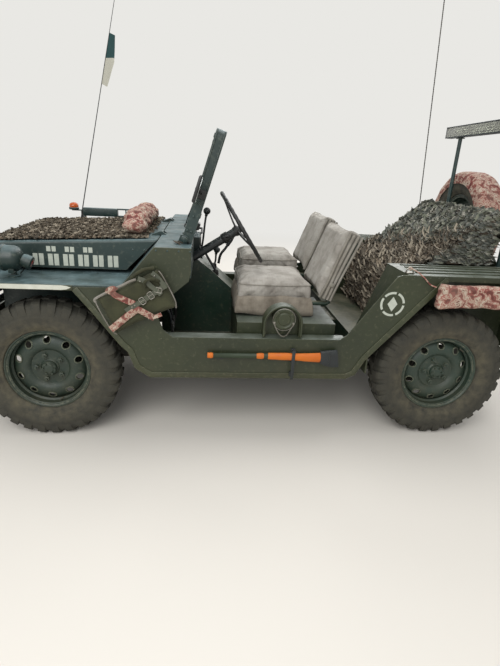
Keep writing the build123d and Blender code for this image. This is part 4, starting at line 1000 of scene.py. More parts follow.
# lumps of the loosely rolled cloth: middle along the roll, height, radii along the roll, deep and tall
for y, z, long, deep, tall in ((-352, 1092, 96, 78, 46), (-262, 1112, 120, 84, 64),
                               (-120, 1118, 130, 82, 62), (30, 1112, 120, 80, 58), (170, 1116, 120, 84, 60),
                               (290, 1104, 100, 78, 50)):
    bmesh.ops.create_uvsphere(shape, u_segments=20, v_segments=12, radius=1.0, matrix=Matrix.Translation(
        Vector(((bundle_low.x + bundle_high.x) / 2 - 4 * mm, y * mm, z * mm))) @ Matrix.Diagonal(
            (deep * mm, long * mm, tall * mm, 1)))
bundle = filled("rolled_cloth_on_hood", shape, red_camouflage, "hood", 7, 3.0, 10)
folds(bundle, 9, 62, 4.0, (1.3, 0.8, 1.3))
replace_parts(bundle, "cloth_bundle")
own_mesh(bundle)

roll_low, roll_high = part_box("rear_bag")
roll_size = roll_high - roll_low
shape = pad_block((roll_low + roll_high) / 2,
                  (roll_size.x - 20 * mm, roll_size.y - 14 * mm, roll_size.z - 16 * mm), 0.0, 0.05)
roll_piece = filled("rolled_cloth_under_deck", shape, red_camouflage, "chassis", 7, 3.0, 8)
folds(roll_piece, 7, 70, 7.0, (0.6, 1.2, 1.2))
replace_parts(roll_piece, "rear_bag")

# band of printed cotton stretched over the spare's tread and gathered on its walls
low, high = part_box("spare_cover")
spare_centre = (low + high) / 2
# (station across, radius) in millimetres
cover_ring = [(98, 300), (98.5, 318), (97, 334), (92, 350), (86, 364), (76, 377), (60, 382), (20, 383)]
cover_ring = cover_ring + [(-s, r) for s, r in cover_ring[::-1]]
shape = bmesh.new()
rings = []
for a in full_turn(150):
    ring = []
    for s, r in cover_ring:
        gather = (384 - r) / 84
        q = Vector((cos(a) * 9, sin(a) * 9, s * 0.02))
        pleat = noise.noise(q * 1.9) * 5 * gather + noise.noise(q * 0.6) * 3
        radius = (r - 3 + min(pleat, 3)) * mm
        x = (s + (0.6 if s > 0 else -0.6) * min(pleat, 2)) * mm
        ring.append(shape.verts.new(spare_centre + Vector((x, radius * cos(a), radius * sin(a)))))
    rings.append(ring)
skin(shape, rings, closed=True)
spare_band = piece("spare_tyre_cover", shape, red_camouflage, "chassis", 80)
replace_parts(spare_band, "spare_cover")

# Rear bench: foam seat and back in olive canvas, mostly under the net
olive_canvas = woven("olive_cotton_canvas", "#3b3c2d", "#27281d", "#514f3d", 2.6, 0.3, "#5a5140")
bench_lean = radians(17)
shape = pad_block(Vector((front_axle_x + 2152 * mm, 0, 808 * mm)), (320 * mm, 836 * mm, 84 * mm), 0.0)
bench_seat = filled("bench_seat_pad", shape, olive_canvas, "chassis", 10, 3.0, 12)
folds(bench_seat, 3, 120, 3.0)
foot = Vector((front_axle_x + 2338 * mm, 0, 790 * mm))
bench_turn = Matrix.Rotation(bench_lean, 3, "Y")
middle = foot + bench_turn @ Vector((40 * mm, 0, 210 * mm))
shape = pad_block(middle, (62 * mm, 836 * mm, 400 * mm), bench_lean)
bench_back = filled("bench_back_pad", shape, olive_canvas, "chassis", 10, 3.0, 8)
folds(bench_back, 3, 120, 6.0)
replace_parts(bench_seat, "bench_cushions")


# Windshield: pressed channel frame that folds on two pins, flat laminated glass in a black
# rubber channel, a wiper on each half, and a round-cornered mirror on a bent steel arm.
def at(x_mm, y_mm, z_mm):
    """Point given in millimetres behind the front axle, right of the middle and above the floor."""
    return Vector((front_axle_x + x_mm * mm, y_mm * mm, z_mm * mm))


def along(origin, direction):
    """Place whose Z axis points along a direction."""
    return Matrix.Translation(origin) @ Vector(direction).to_track_quat("Z", "Y").to_matrix().to_4x4()


def spun(shape, profile, where, steps=24):
    """Adds a profile of (station, radius) in millimetres turned about the Z axis of a place."""
    rings = [[shape.verts.new(where @ Vector((r * mm * cos(a), r * mm * sin(a), s * mm)))
              for s, r in profile]
             for a in full_turn(steps)]
    skin(shape, rings, closed=True)
    bmesh.ops.remove_doubles(shape, verts=[v for ring in rings for v in ring], dist=0.00002)


def bolt_head(shape, point, direction, steps=6):
    """Adds a hexagon head of 12 mm across its corners, or a round one, that stands out of a face."""
    spun(shape, [(0, 0), (0, 6), (4, 6), (5, 4), (5, 0)], along(point, direction), steps)


def slab(shape, outline, thick_mm, where):
    """Adds a flat piece with an outline of (across, up) in millimetres and its thickness along Z."""
    low, high = [[shape.verts.new(where @ Vector((u * mm, v * mm, w * mm))) for u, v in outline]
                 for w in (0, thick_mm)]
    shape.faces.new(low[::-1])
    shape.faces.new(high)
    for i in range(len(outline)):
        k = (i + 1) % len(outline)
        shape.faces.new((low[i], low[k], high[k], high[i]))


def upright(y_mm):
    """Place of a slab on a wall across the car: its outline is (behind the front axle, above the floor)."""
    return Matrix.Translation(at(0, y_mm, 0)) @ Matrix.Rotation(pi / 2, 4, "X")


def coated(name, colour, pale, worn, roughness, metallic, patch_mm, grain_mm, grain_depth, wear=0.5):
    """One even coat or moulding: soft shade patches, and edges rubbed to another colour, which on the
    leather belt is a dark painted shade.
    """
    material, tree, shader, place = new_material(name, roughness, metallic)
    tone = mixed(tree, blotches(tree, place, patch_mm, 0.3, 0.72, 5.0), colour, pale)
    edge_wear_and_shade = times(tree, edges_of(tree, 1.6), blotches(tree, place, patch_mm / 4, 0.38, 0.62, 6.0), wear)
    tree.links.new(mixed(tree, edge_wear_and_shade, tone, worn), shader.inputs["Base Color"])
    dull = stretched(tree, blotches(tree, place, patch_mm / 2, 0.35, 0.75, 5.0), 0.0, 1.0, roughness,
                     min(roughness + 0.3, 1.0))
    tree.links.new(dull, shader.inputs["Roughness"])
    raised(tree, shader, blotches(tree, place, grain_mm, 0.2, 0.8), grain_depth, 0.5)
    return material


# black rubber and plastic gone grey in the sun; satin black paint rubbed to steel at its edges
black_rubber = coated("black_extruded_rubber", "#161614", "#262622", "#3a3933", 0.72, 0.0, 80, 1.2, 0.12)
black_plastic = coated("black_moulded_plastic", "#121313", "#1f2020", "#3c3b37", 0.42, 0.0, 70, 0.9, 0.06)
black_paint = coated("satin_black_paint_on_steel", "#15191a", "#22282a", "#5a5a52", 0.38, 0.0, 90, 2.0, 0.1,
                     0.7)
# laminated glass, thin and faintly green, with a film of dust
glass_film, glass_tree, glass_shader, glass_place = new_material("laminated_window_glass", 0.03)
glass_shader.inputs["Base Color"].default_value = linear("#dfe8e2")
glass_shader.inputs["Transmission Weight"].default_value = 0.96
glass_shader.inputs["IOR"].default_value = 1.45
film = stretched(glass_tree, blotches(glass_tree, glass_place, 160, 0.4, 0.8, 6.0), 0.0, 1.0, 0.02, 0.16)
glass_tree.links.new(film, glass_shader.inputs["Roughness"])
finished("windshield_glass", glass_film)

screen_turn = Matrix.Rotation(radians(17.2), 4, "Y")
screen_place = Matrix.Translation(at(700, 0, 1080)) @ screen_turn
screen_half, screen_tall, screen_bar = 665, 545, 46
opening_low = 44


def on_screen(x_mm, y_mm, z_mm):
    """Point in millimetres behind the screen frame's face, right of its middle and above its foot."""
    return screen_place @ Vector((x_mm * mm, y_mm * mm, z_mm * mm))


seal = bmesh.new()
seal_half = (screen_half - screen_bar - 3) * mm
seal_loop = rounded_loop(-(screen_tall - screen_bar - 3) * mm, -(opening_low + 3) * mm, -seal_half,
                         seal_half, 24 * mm, 0)
for x in (9, 25):
    tube(seal, [screen_place @ Vector((x * mm, p.y, -p.x)) for p in seal_loop], 5.5 * mm, 6, True)
piece("windshield_rubber_channel", seal, black_rubber, "windshield", 60)

screen_trim = bmesh.new()
for side in (-1, 1):
    for x in (3, 41):
        brick(screen_trim, on_screen(x, side * (screen_half + 2), 380), (6, 5, 320), screen_turn, 1.2)
    spun(screen_trim, [(0, 0), (0, 19), (5, 19), (7, 15), (7, 11), (13, 11), (14, 8), (14, 0)],
         along(on_screen(10, side * (screen_half + 5.5), 0), (0, side, 0)), 18)
    for x, z in ((8, 45), (28, 45), (8, 190), (26, 190), (17, 120)):
        spun(screen_trim, [(0, 0), (0, 6), (3, 5.4), (4.5, 3), (5, 0)],
             along(on_screen(x, side * (screen_half + 5.8), z), (0, side, 0)), 10)
    for y in (120, 350, 600):
        spun(screen_trim, [(0, 0), (0, 8), (2, 8), (2, 5.5), (6, 5), (6.5, 0)],
             along(on_screen(-4.2, side * y, 18), (-1, 0, 0)), 12)
    brick(screen_trim, on_screen(-6, side * 340, 527), (6, 60, 22), screen_turn, 2)
piece("windshield_ribs_and_bolts", screen_trim, sky_tinted_hood_enamel, "windshield", 40)

wiper = bmesh.new()
for side in (-1, 1):
    pivot_y = side * 300
    tip_y = pivot_y - 190
    brick(wiper, on_screen(54, pivot_y, 38), (34, 62, 40), screen_turn, 5)
    spun(wiper, [(0, 0), (0, 10), (8, 9), (11, 6), (11, 0)], along(on_screen(-6, pivot_y, 18), (-1, 0, 0.2)),
         14)
    tube(wiper, [on_screen(-10, pivot_y, 18), on_screen(-9.6, pivot_y - 38, 61.4), on_screen(1, tip_y, 235)],
         [3.0 * mm, 2.8 * mm, 2.2 * mm], 6)
    blade = Vector((0, -0.36, 0.93)).normalized()
    tube(wiper, [on_screen(4, tip_y + blade.y * reach, 235 + blade.z * reach) for reach in (-140, 120)],
         3.2 * mm, 6)
piece("windshield_wipers", wiper, black_paint, "windshield", 40)

mirror_shape = bmesh.new()
tube(mirror_shape, smooth_path([on_screen(20, -667, 235), on_screen(14, -690, 240), on_screen(6, -716, 247),
                                on_screen(0, -728, 252)], 5), 6 * mm, 10)
brick(mirror_shape, on_screen(20, -672, 234), (44, 14, 44), screen_turn, 3)
spun(mirror_shape, [(-8, 0), (-8, 13), (0, 15), (8, 11), (8, 0)],
     along(on_screen(-2, -730, 253), (-0.3, -1, 0)), 14)
brick(mirror_shape, on_screen(-6, -755, 255), (17, 78, 128), screen_turn, 8)
mirror_piece = piece("side_mirror_housing", mirror_shape, black_plastic, "windshield", 40)
mirror_glass = bmesh.new()
brick(mirror_glass, on_screen(3.5, -755, 255), (2, 68, 117), screen_turn, 0.8)
silvered_glass = coated("silvered_mirror_glass", "#c3c8c6", "#b4bab8", "#8d8f8a", 0.05, 1.0, 90, 3, 0.02)
piece("side_mirror_glass", mirror_glass, silvered_glass, "windshield", 40)
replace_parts(mirror_piece, "side_mirror")


# Steering wheel: thin black rubber moulded on a steel ring, with finger ridges at the back of
# the rim, three pressed spokes and a round horn button, on a black painted column.
column_tilt = radians(33)
hub_point = at(985, -350, 1085)
hub_place = along(hub_point, (cos(column_tilt), 0, sin(column_tilt)))
wheel_radius, wheel_lift, ring_steps = 218, 40, 144
wheel_shape = bmesh.new()
ring_points = [hub_place @ Vector((wheel_radius * mm * cos(a), wheel_radius * mm * sin(a), wheel_lift * mm))
               for a in full_turn(ring_steps)]
tube(wheel_shape, ring_points, [(10.6 + 0.9 * (i % 4 in (1, 2))) * mm for i in range(ring_steps)], 12, True)
spun(wheel_shape, [(-10, 0), (-10, 27), (6, 30), (20, 27), (24, 22), (24, 0)], hub_place, 28)
for i in range(3):
    a = radians(90 + 120 * i)
    out = Vector((cos(a), sin(a), 0))
    across = Vector((-sin(a), cos(a), 0))
    rows = []
    # columns: reach, lift, half width, half thickness; then the section's corners
    for reach, lift, half, thin in ((14, 10, 17, 6), (60, 14, 14, 5), (130, 25, 10, 4.5), (190, 37, 9, 5),
                                    (214, 40, 11, 6)):
        section = [out * reach + across * u * half + Vector((0, 0, lift + w * thin)) for u, w in
                   ((-1, -0.5), (-0.6, -1), (0.6, -1), (1, -0.5), (1, 0.5), (0.6, 1), (-0.6, 1), (-1, 0.5))]
        rows.append([wheel_shape.verts.new(hub_place @ (p * mm)) for p in section])
    skin(wheel_shape, rows, True)
    wheel_shape.faces.new(rows[0][::-1])
    wheel_shape.faces.new(rows[-1])
wheel_piece = piece("steering_wheel_rim_and_spokes", wheel_shape, black_plastic, "steering_wheel",
                    50)
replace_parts(wheel_piece, "steering_wheel")
horn = bmesh.new()
spun(horn, [(23, 21), (27, 21), (31, 16), (32.5, 8), (33, 0)], hub_place, 24)
piece("horn_button", horn, black_rubber, "steering_wheel", 50)
finished("steering_column", black_paint)
stalk = bmesh.new()
column_run = Vector((-cos(column_tilt), 0, -sin(column_tilt)))
spun(stalk, [(0, 0), (0, 30), (34, 30), (38, 26), (38, 0)],
     along(hub_point + column_run * 0.052, column_run), 20)
stalk_root = hub_point + column_run * 0.070
tube(stalk, [stalk_root, stalk_root + Vector((0.01, -0.06, 0.01)), stalk_root + Vector((0.02, -0.13, 0.03))],
     [4 * mm, 3.4 * mm, 3.2 * mm], 8)
spun(stalk, [(0, 0), (0, 5), (14, 6.5), (20, 5), (22, 0)],
     along(stalk_root + Vector((0.02, -0.13, 0.03)), (0.12, -0.9, 0.3)), 12)
piece("column_switch", stalk, black_plastic, "chassis", 45)

# Levers on the gearbox cover: thin black stems in rubber boots with round knobs, the hand brake
# beside the right seat, and three pedals with ribbed rubber pads hung from the firewall.
lever_shape = bmesh.new()
boots = bmesh.new()
# columns: foot x, y, z, way out of the cover x, z, knob x, y, z, stem radius, knob radius
for foot_x, foot_y, foot_z, out_x, out_z, knob_x, knob_y, knob_z, stem, knob in (
        (775, 0, 869, 0.606, 0.795, 819, 0, 1159, 6.5, 23),
        (870, 60, 795, 0.653, 0.758, 890, 60, 905, 6.5, 22),
        (880, -115, 786, 0.653, 0.758, 800, -115, 940, 7.5, 16)):
    foot, tip, out = at(foot_x, foot_y, foot_z), at(knob_x, knob_y, knob_z), Vector((out_x, 0, out_z))
    spun(boots, [(0, 0), (0, 26), (2, 26), (4, 20), (7, 22), (9, 16), (13, 18), (16, 11), (22, 8), (22, 0)],
         along(foot + out * 0.001, out), 18)
    bend = foot.lerp(tip, 0.35) + Vector((0.006, 0, 0))
    tube(lever_shape, smooth_path([foot + out * 0.008, bend, foot.lerp(tip, 0.75), tip], 5), stem * mm, 10)
    spun(lever_shape, [(-knob - 10, 0), (-knob - 9, 9), (-knob + 2, 10)] +
         [(-knob * cos(pi * k / 12), knob * sin(pi * k / 12)) for k in range(3, 12)] + [(knob, 0)],
         along(tip, tip - foot), 20)
hand_brake = smooth_path([at(905, 128, 800), at(918, 130, 860), at(950, 130, 905), at(985, 132, 960)], 6)
tube(lever_shape, hand_brake, 9 * mm, 10)
tube(lever_shape, [at(962, 131, 925), at(985, 132, 962), at(1000, 133, 988)], [13 * mm, 14 * mm, 11 * mm],
     12)
for pedal_y in (-520, -430, -250):
    tube(lever_shape, smooth_path([at(550, pedal_y, 700), at(578, pedal_y, 690), at(618, pedal_y, 640),
                                   at(630, pedal_y, 560)], 5), 7 * mm, 8)
    brick(boots, at(634, pedal_y, 555), (10, 60, 66), Matrix(), 3)
    for k in range(5):
        brick(boots, at(640, pedal_y, 531 + 12 * k), (4, 52, 5), Matrix(), 1)
lever_piece = piece("levers_and_pedal_arms", lever_shape, black_paint, "chassis", 50)
piece("lever_boots_and_pedal_pads", boots, black_rubber, "chassis", 50)
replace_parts(lever_piece, "control_levers")

# Instruments: one large and four small round dials in black bezels on the steel instrument box,
# with plain pale scales, toggle switches beside them, and a grab handle at the right.
dial_face = coated("printed_black_dial_face", "#0e0f0f", "#161717", "#2a2a28", 0.35, 0.0, 40, 0.8, 0.02)
pale_print = coated("pale_dial_print", "#c9c8bb", "#b5b4a6", "#8a897c", 0.6, 0.0, 20, 0.8, 0.02)
bezels, faces, scale_marks = bmesh.new(), bmesh.new(), bmesh.new()
for y, z, radius in ((-180, 985, 42), (-252, 1010, 21), (-252, 952, 21), (-108, 1010, 21), (-108, 952, 21)):
    centre = at(780, y, z)
    place = along(centre, (1, 0, 0))
    spun(bezels, [(s, radius + r) for s, r in ((0, 0), (0, 5), (5, 4), (6, 1), (4, -2), (1, -3))], place, 32)
    spun(faces, [(1.2, radius), (1.2, 0)], place, 32)
    for a in [radians(-220 + 20 * k) for k in range(13)]:
        spot = centre + Vector((0.0016, cos(a) * radius * 0.78 * mm, sin(a) * radius * 0.78 * mm))
        brick(scale_marks, spot, (0.8, radius * 0.16, 1.3), Matrix.Rotation(a, 3, "X"), 0.2)
    needle = centre + Vector((2.2, -radius * 0.2, radius * 0.16)) * mm
    brick(scale_marks, needle, (0.8, radius * 0.75, 1.6), Matrix.Rotation(radians(-38), 3, "X"), 0.2)
for y in (-290, -278, -70):
    spun(bezels, [(0, 0), (0, 6), (3, 6), (4, 4), (14, 3), (16, 3.6), (17, 0)],
         along(at(780, y, 938), (1, 0, -0.2)), 12)
piece("dial_bezels_and_switches", bezels, black_plastic, "chassis", 50)
piece("dial_faces", faces, dial_face, "chassis", 50)
piece("dial_scales", scale_marks, pale_print, "chassis", 50)
grab = bmesh.new()
grab_line = [at(746, 200, 990), at(782, 205, 992), at(786, 230, 992), at(786, 430, 992), at(782, 455, 992),
             at(746, 460, 990)]
tube(grab, smooth_path(grab_line, 5), 7 * mm, 10)
for y in (200, 460):
    spun(grab, [(0, 0), (0, 16), (3, 15), (4, 0)], along(at(745.5, y, 990), (1, 0, 0)), 16)
piece("grab_handle", grab, black_paint, "chassis", 45)


# Side bag: box bag of waxed olive canvas hung at a tilt on the cowl side, its worn top edge gone
# grey, with a belt of oiled leather, steel buckles, a carrying handle and torn camouflage ties.
waxed_canvas = woven("waxed_olive_canvas", "#2e2f1c", "#1f2013", "#3d3e29", 2.0, 0.25, "#3b3827")
bag_place = Matrix.Translation(at(488, -822.3, 792)) @ Matrix.Rotation(radians(-26.4), 4, "Y")
bag_turn = bag_place.to_3x3()
shape = pad_block(Vector(), (334 * mm, 52 * mm, 202 * mm), 0.0, 0.0)
shape.transform(bag_place)
bag_piece = filled("side_bag_body", shape, waxed_canvas, "chassis", 5, 3.5, 8)
folds(bag_piece, 2.4, 85, 9.0)
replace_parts(bag_piece, "side_bag")
# painted shade: the belt's edges are darkened almost to black, standing for shade along the leather's
# thickness
oiled_leather = coated("oiled_olive_leather", "#3f4336", "#4d5041", "#1b1d14", 0.5, 0.0, 45, 1.6, 0.2, 0.8)
faded_edge = woven("rubbed_grey_canvas_edge", "#6a655b", "#49453a", "#85817a", 1.8, 0.25, "#57503f")
bag_front = -35.5


def on_bag(u, w, out=0.0):
    """Point on the bag's outer face: along, up and out of it in millimetres."""
    return bag_place @ Vector((u * mm, (bag_front - out) * mm, w * mm))


def on_bag_path(points, steps):
    """Rounded path through points of (along, up, out) on the bag's face."""
    return smooth_path([on_bag(*point) for point in points], steps)


def band(shape, points, steps, width_mm, thick_mm):
    """Adds a flat strap that follows points of (along, up, out of the face) on the bag."""
    spots = smooth_path(points, steps)
    rows = []
    for i, spot in enumerate(spots):
        run = (spots[min(i + 1, len(spots) - 1)] - spots[max(i - 1, 0)]).normalized()
        side = Vector((-run.y, run.x, 0)).normalized() * width_mm / 2
        rows.append([shape.verts.new(on_bag(spot.x + side.x * s, spot.y + side.y * s, spot.z + t))
                     for s, t in ((-1, 0), (-0.92, thick_mm), (0.92, thick_mm), (1, 0))])
    skin(shape, rows, True)
    shape.faces.new(rows[0][::-1])
    shape.faces.new(rows[-1])


straps = bmesh.new()
# points, steps between them, width and thickness: the long belt, its keeper and the two flap belts
for points, steps, wide, thick in (
        ([(-62, -14, 3), (-40, -10, 4), (10, -4, 3), (60, 4, 4), (110, 12, 4), (165, 22, 2), (176, 24, -8)],
         4, 27, 3.2),
        ([(-28, -8, 7), (10, -3, 8), (48, 3, 7)], 4, 22, 2.6),
        ([(64, 104, 0), (92, 78, 6), (104, 48, 8), (118, 20, 8), (128, -10, 5)], 4, 24, 3.0),
        ([(136, 102, 0), (152, 70, 5), (158, 40, 6), (160, 8, 5)], 4, 22, 3.0)):
    band(straps, points, steps, wide, thick)
piece("side_bag_belts", straps, oiled_leather, "chassis", 50)
handle = bmesh.new()
tube(handle, on_bag_path([(78, 58, 6), (88, 78, 22), (112, 84, 30), (138, 74, 24), (150, 52, 8)], 5), 7 * mm,
     10)
tube(handle, on_bag_path([(30, 112, -30), (60, 122, -26), (110, 126, -24), (150, 112, -28)], 5),
     [(9 + 3 * noise.noise(Vector((i * 0.4, 0, 3)))) * mm for i in range(16)], 10)
piece("side_bag_handle_and_roll", handle, waxed_canvas, "chassis", 60)
rim_line = bmesh.new()
top_path = smooth_path([(-172, 84, -8), (-160, 100, -6), (-60, 105, -3), (30, 106, -4), (52, 104, -8)], 8)
tube(rim_line, [on_bag(u, w + 1.5 * noise.noise(Vector((u * 0.03, 0, 0))), o) for u, w, o in top_path],
     6.5 * mm, 8)
for line in ([(-170, 84, -4), (-174, 40, -3), (-173, -70, -4), (-160, -101, -6)],
             [(168, 96, -6), (174, 60, -4), (174, -60, -4), (160, -102, -6)]):
    tube(rim_line, on_bag_path(line, 6), 3 * mm, 8)
piece("side_bag_worn_edges", rim_line, faded_edge, "chassis", 70)
buckles = bmesh.new()
for u, w, turn in ((34, 0, 0.16), (82, 8, 0.16), (126, 16, 0.9)):
    ring = rounded_loop(-12 * mm, 12 * mm, -17 * mm, 17 * mm, 6 * mm, 0, 4)
    lie = Matrix.Rotation(pi / 2, 4, "X") @ Matrix.Rotation(turn, 4, "Z")
    place = Matrix.Translation(on_bag(u, w, 9)) @ bag_turn.to_4x4() @ lie
    tube(buckles, [place @ p for p in ring], 2.3 * mm, 8, True)
    tube(buckles, [place @ Vector((-12 * mm, 0, 0)), place @ Vector((13 * mm, 0, 1.5 * mm))], 1.7 * mm, 6)
for u, w in ((-24, -6), (-8, -4), (70, 90), (142, 84)):
    spun(buckles, [(0, 0), (0, 4), (2, 3.6), (3, 2), (3.2, 0)],
         along(on_bag(u, w, 11), bag_turn @ Vector((0, -1, 0))), 10)
piece("side_bag_buckles", buckles, dull_steel, "chassis", 50)
ties = bmesh.new()
# points, steps between them, width and thickness of each torn end
for points, steps, wide, thick in (
        ([(-78, 108, -2), (-70, 84, 9), (-50, 52, 5), (-22, 18, 4), (-8, 2, 4)], 5, 30, 1.6),
        ([(-172, -66, 3), (-140, -58, 5), (-90, -44, 5), (-30, -30, 6), (2, -24, 5)], 5, 34, 1.6),
        ([(-14, -16, 7), (4, -40, 9), (24, -70, 7), (44, -104, 2)], 5, 32, 1.6),
        ([(-98, 100, 2), (-82, 112, 8), (-60, 110, 9), (-52, 96, 6)], 5, 26, 2.0),
        ([(20, -84, 6), (52, -96, 8), (84, -98, 3)], 5, 20, 1.6)):
    band(ties, points, steps, wide, thick)
piece("side_bag_torn_ties", ties, red_camouflage, "chassis", 60)

# Axe: ash handle painted dark green, with orange bands and an orange grip behind the black
# forged head, held flat along the sill by a strap of folded black steel.
axe_y = -813
handle_rows = []
grip = bmesh.new()
# columns: station, height of middle, half height, half depth, paint: 0 green, 1 orange
axe_line = [(834, 508, 15, 11, 1), (852, 508, 16, 12, 1), (862, 508, 14, 11, 1), (863, 508, 13, 10, 0),
            (980, 508, 13, 10, 0), (1090, 508, 13.5, 10, 0), (1100, 508, 16, 12, 1), (1118, 508, 17, 12, 1),
            (1128, 508, 14, 10, 0), (1150, 508, 15, 10, 0), (1152, 508, 18, 12, 1), (1240, 507, 21, 13, 1),
            (1300, 505, 20, 13, 1), (1370, 503, 24, 14, 1), (1426, 503, 27, 14, 1), (1431, 503, 27, 14, 1)]
for x, z, tall, deep, paint in axe_line:
    handle_rows.append([grip.verts.new(at(x, axe_y + deep * cos(a), z + tall * sin(a)))
                        for a in full_turn(20)])
for i, (here, there) in enumerate(zip(handle_rows, handle_rows[1:])):
    for k in range(20):
        face = grip.faces.new((here[k], here[(k + 1) % 20], there[(k + 1) % 20], there[k]))
        face.material_index = axe_line[i + 1][4] if axe_line[i][4] == axe_line[i + 1][4] else 1
grip.faces.new(handle_rows[0][::-1]).material_index = 1
grip.faces.new(handle_rows[-1]).material_index = 1
axe_green = coated("dark_green_paint_on_ash", "#1d2a19", "#2a3723", "#8a5a20", 0.45, 0.0, 50, 2.2, 0.2, 0.4)
axe_orange = coated("orange_paint_on_ash", "#b25608", "#c76a12", "#6a3a12", 0.5, 0.0, 60, 2.0, 0.2, 0.7)
axe_piece = piece("axe_handle", grip, axe_green, "chassis", 50)
axe_piece.data.materials.append(axe_orange)
axe_head = bmesh.new()
head_line = [(1428, 540), (1512, 548), (1520, 546), (1524, 520), (1533, 470), (1537, 451), (1500, 449),
             (1462, 456), (1436, 470)]
eye_line = [(1430, 537), (1480, 542), (1480, 466), (1430, 471)]
for thick, outline in ((17, head_line), (31, eye_line)):
    slab(axe_head, outline, thick, upright(axe_y + thick / 2))
bmesh.ops.bevel(axe_head, geom=list(axe_head.edges), offset=4 * mm, segments=2, affect="EDGES", profile=0.5)
spun(axe_head, [(0, 0), (0, 20), (22, 20), (24, 17), (24, 0)], along(at(1466, axe_y - 12, 508), (0, 1, 0)),
     20)
piece("axe_head", axe_head, black_paint, "chassis", 35)
strap = bmesh.new()
strap_x = 1284
for y, z, size in ((-15, 464, (17, 3, 166)), (-6, 534, (30, 8, 4)), (-6, 478, (34, 9, 4))):
    brick(strap, at(strap_x, axe_y + y, z), size, Matrix(), 1.0)
brick(strap, at(strap_x, -797, 400), (22, 14, 26))
brick(strap, at(strap_x, -800, 541), (22, 16, 12))
for z in (399, 545):
    bolt_head(strap, at(strap_x, -806, z), (0, -1, 0))
for x in (905, 1170):
    brick(strap, at(x, -802, 490), (18, 20, 5), Matrix(), 1)
    brick(strap, at(x, -812, 494), (18, 3, 12), Matrix(), 1)
piece("axe_strap_and_hooks", strap, black_paint, "chassis", 35)
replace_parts(axe_piece, "axe")

# Fuel filler: pressed cap in its arched guard, kept from loss by a ring and a chain of oval links.
cap_centre = at(1225, -783.5, 704)
cap_shape = bmesh.new()
spun(cap_shape, [(0, 54), (3, 56), (8, 54), (9, 46), (6, 42), (6, 34), (11, 30), (12, 14), (12, 0)],
     along(cap_centre, (0, -1, 0)), 40)
for a in [0.4 + turn for turn in full_turn(3)]:
    brick(cap_shape, cap_centre + Vector((cos(a) * 0.047, -0.009, sin(a) * 0.047)), (12, 7, 20),
          Matrix.Rotation(-a, 3, "Y"), 1.5)
piece("fuel_filler_cap", cap_shape, olive_enamel, "chassis", 40)
guard_rim = bmesh.new()
guard_x, guard_z, guard_radius = 1225, 668, 99
guard_path = [at(guard_x + guard_radius * cos(pi * i / 24), -773, guard_z + guard_radius * sin(pi * i / 24))
              for i in range(25)]
guard_feet = [at(guard_x + side * guard_radius, -773, 602) for side in (1, -1)]
tube(guard_rim, guard_feet[:1] + guard_path + guard_feet[1:], 6.5 * mm, 8)
piece("fuel_guard_rolled_edge", guard_rim, olive_enamel, "chassis", 60)
chain_tree, given = node_group("links_along_a_line", ("Pitch", "Long", "Wire"))
chain_line = add(chain_tree, "GeometryNodeMeshToCurve", (), {0: given["Geometry"]})
link_spots = add(chain_tree, "GeometryNodeCurveToPoints", {"mode": "LENGTH"},
                 {"Curve": chain_line.outputs[0], "Length": given["Pitch"]})
link_ring = add(chain_tree, "GeometryNodeCurvePrimitiveCircle", {"mode": "RADIUS", "Resolution": 10},
                {"Radius": given["Long"]})
link_oval = add(chain_tree, "GeometryNodeTransform", {"Scale": (1.0, 0.62, 1.0)}, {0: link_ring.outputs[0]})
wire_ring = add(chain_tree, "GeometryNodeCurvePrimitiveCircle", {"mode": "RADIUS", "Resolution": 6},
                {"Radius": given["Wire"]})
link_body = add(chain_tree, "GeometryNodeCurveToMesh", (),
                {0: link_oval.outputs[0], 1: wire_ring.outputs[0]})
upright_link = add(chain_tree, "GeometryNodeTransform", {"Rotation": (0, pi / 2, 0)},
                   {0: link_body.outputs[0]})
link_number = add(chain_tree, "GeometryNodeInputIndex").outputs[0]
quarter = maths(chain_tree, "MULTIPLY", maths(chain_tree, "MODULO", link_number, 2.0), pi / 2)
link_spin = add(chain_tree, "ShaderNodeCombineXYZ", (), {2: quarter})
link_turn = add(chain_tree, "FunctionNodeRotateRotation", {"rotation_space": "LOCAL"},
                {0: link_spots.outputs["Rotation"], 1: link_spin.outputs[0]})
links = add(chain_tree, "GeometryNodeInstanceOnPoints", (),
            {"Points": link_spots.outputs[0], "Instance": upright_link.outputs[0],
             "Rotation": link_turn.outputs[0]})
close_group(chain_tree, links.outputs[0], given["Material"])


def line_object(name, points):
    """Mesh of edges only, for a tree that works along a line."""
    mesh = bpy.data.meshes.new(name)
    mesh.from_pydata(points, [(i, i + 1) for i in range(len(points) - 1)], [])
    made = bpy.data.objects.new(name, mesh)
    scene.collection.objects.link(made)
    return made


chain_points = [(-50, -10, -18), (-42, -11, -44), (-24, -11, -74), (0, -11, -92), (20, -11, -80),
                (36, -11, -52), (50, -11, -22)]
chain = line_object("fuel_cap_chain", smooth_path([cap_centre + Vector(p) * mm for p in chain_points], 8))
grown(chain, chain_tree, {"Pitch": 5.6 * mm, "Long": 4.2 * mm, "Wire": 1.1 * mm, "Material": dull_steel})
shade(chain, 60)
on_body(chain, "chassis")
cap_wire = bmesh.new()
tube(cap_wire, [cap_centre + Vector((59 * cos(a), -10, 59 * sin(a))) * mm for a in full_turn(48)],
     1.6 * mm, 6, True)
for x, z in ((-50, -18), (50, -22)):
    bolt_head(cap_wire, cap_centre + Vector((x * mm, -0.006, z * mm)), (0, -1, 0), 12)
piece("fuel_cap_wire_ring", cap_wire, dull_steel, "chassis", 60)


# Lamps: pressed steel headlamp rims over fluted glass, a drum-shaped drive lamp with a small
# blackout lamp on the left fender, round red tail lamps and an orange beacon on a bar.
bright_reflector = coated("polished_lamp_reflector", "#c4c6c2", "#adb0ac", "#8e908c", 0.14, 1.0, 50, 2.0,
                          0.05)


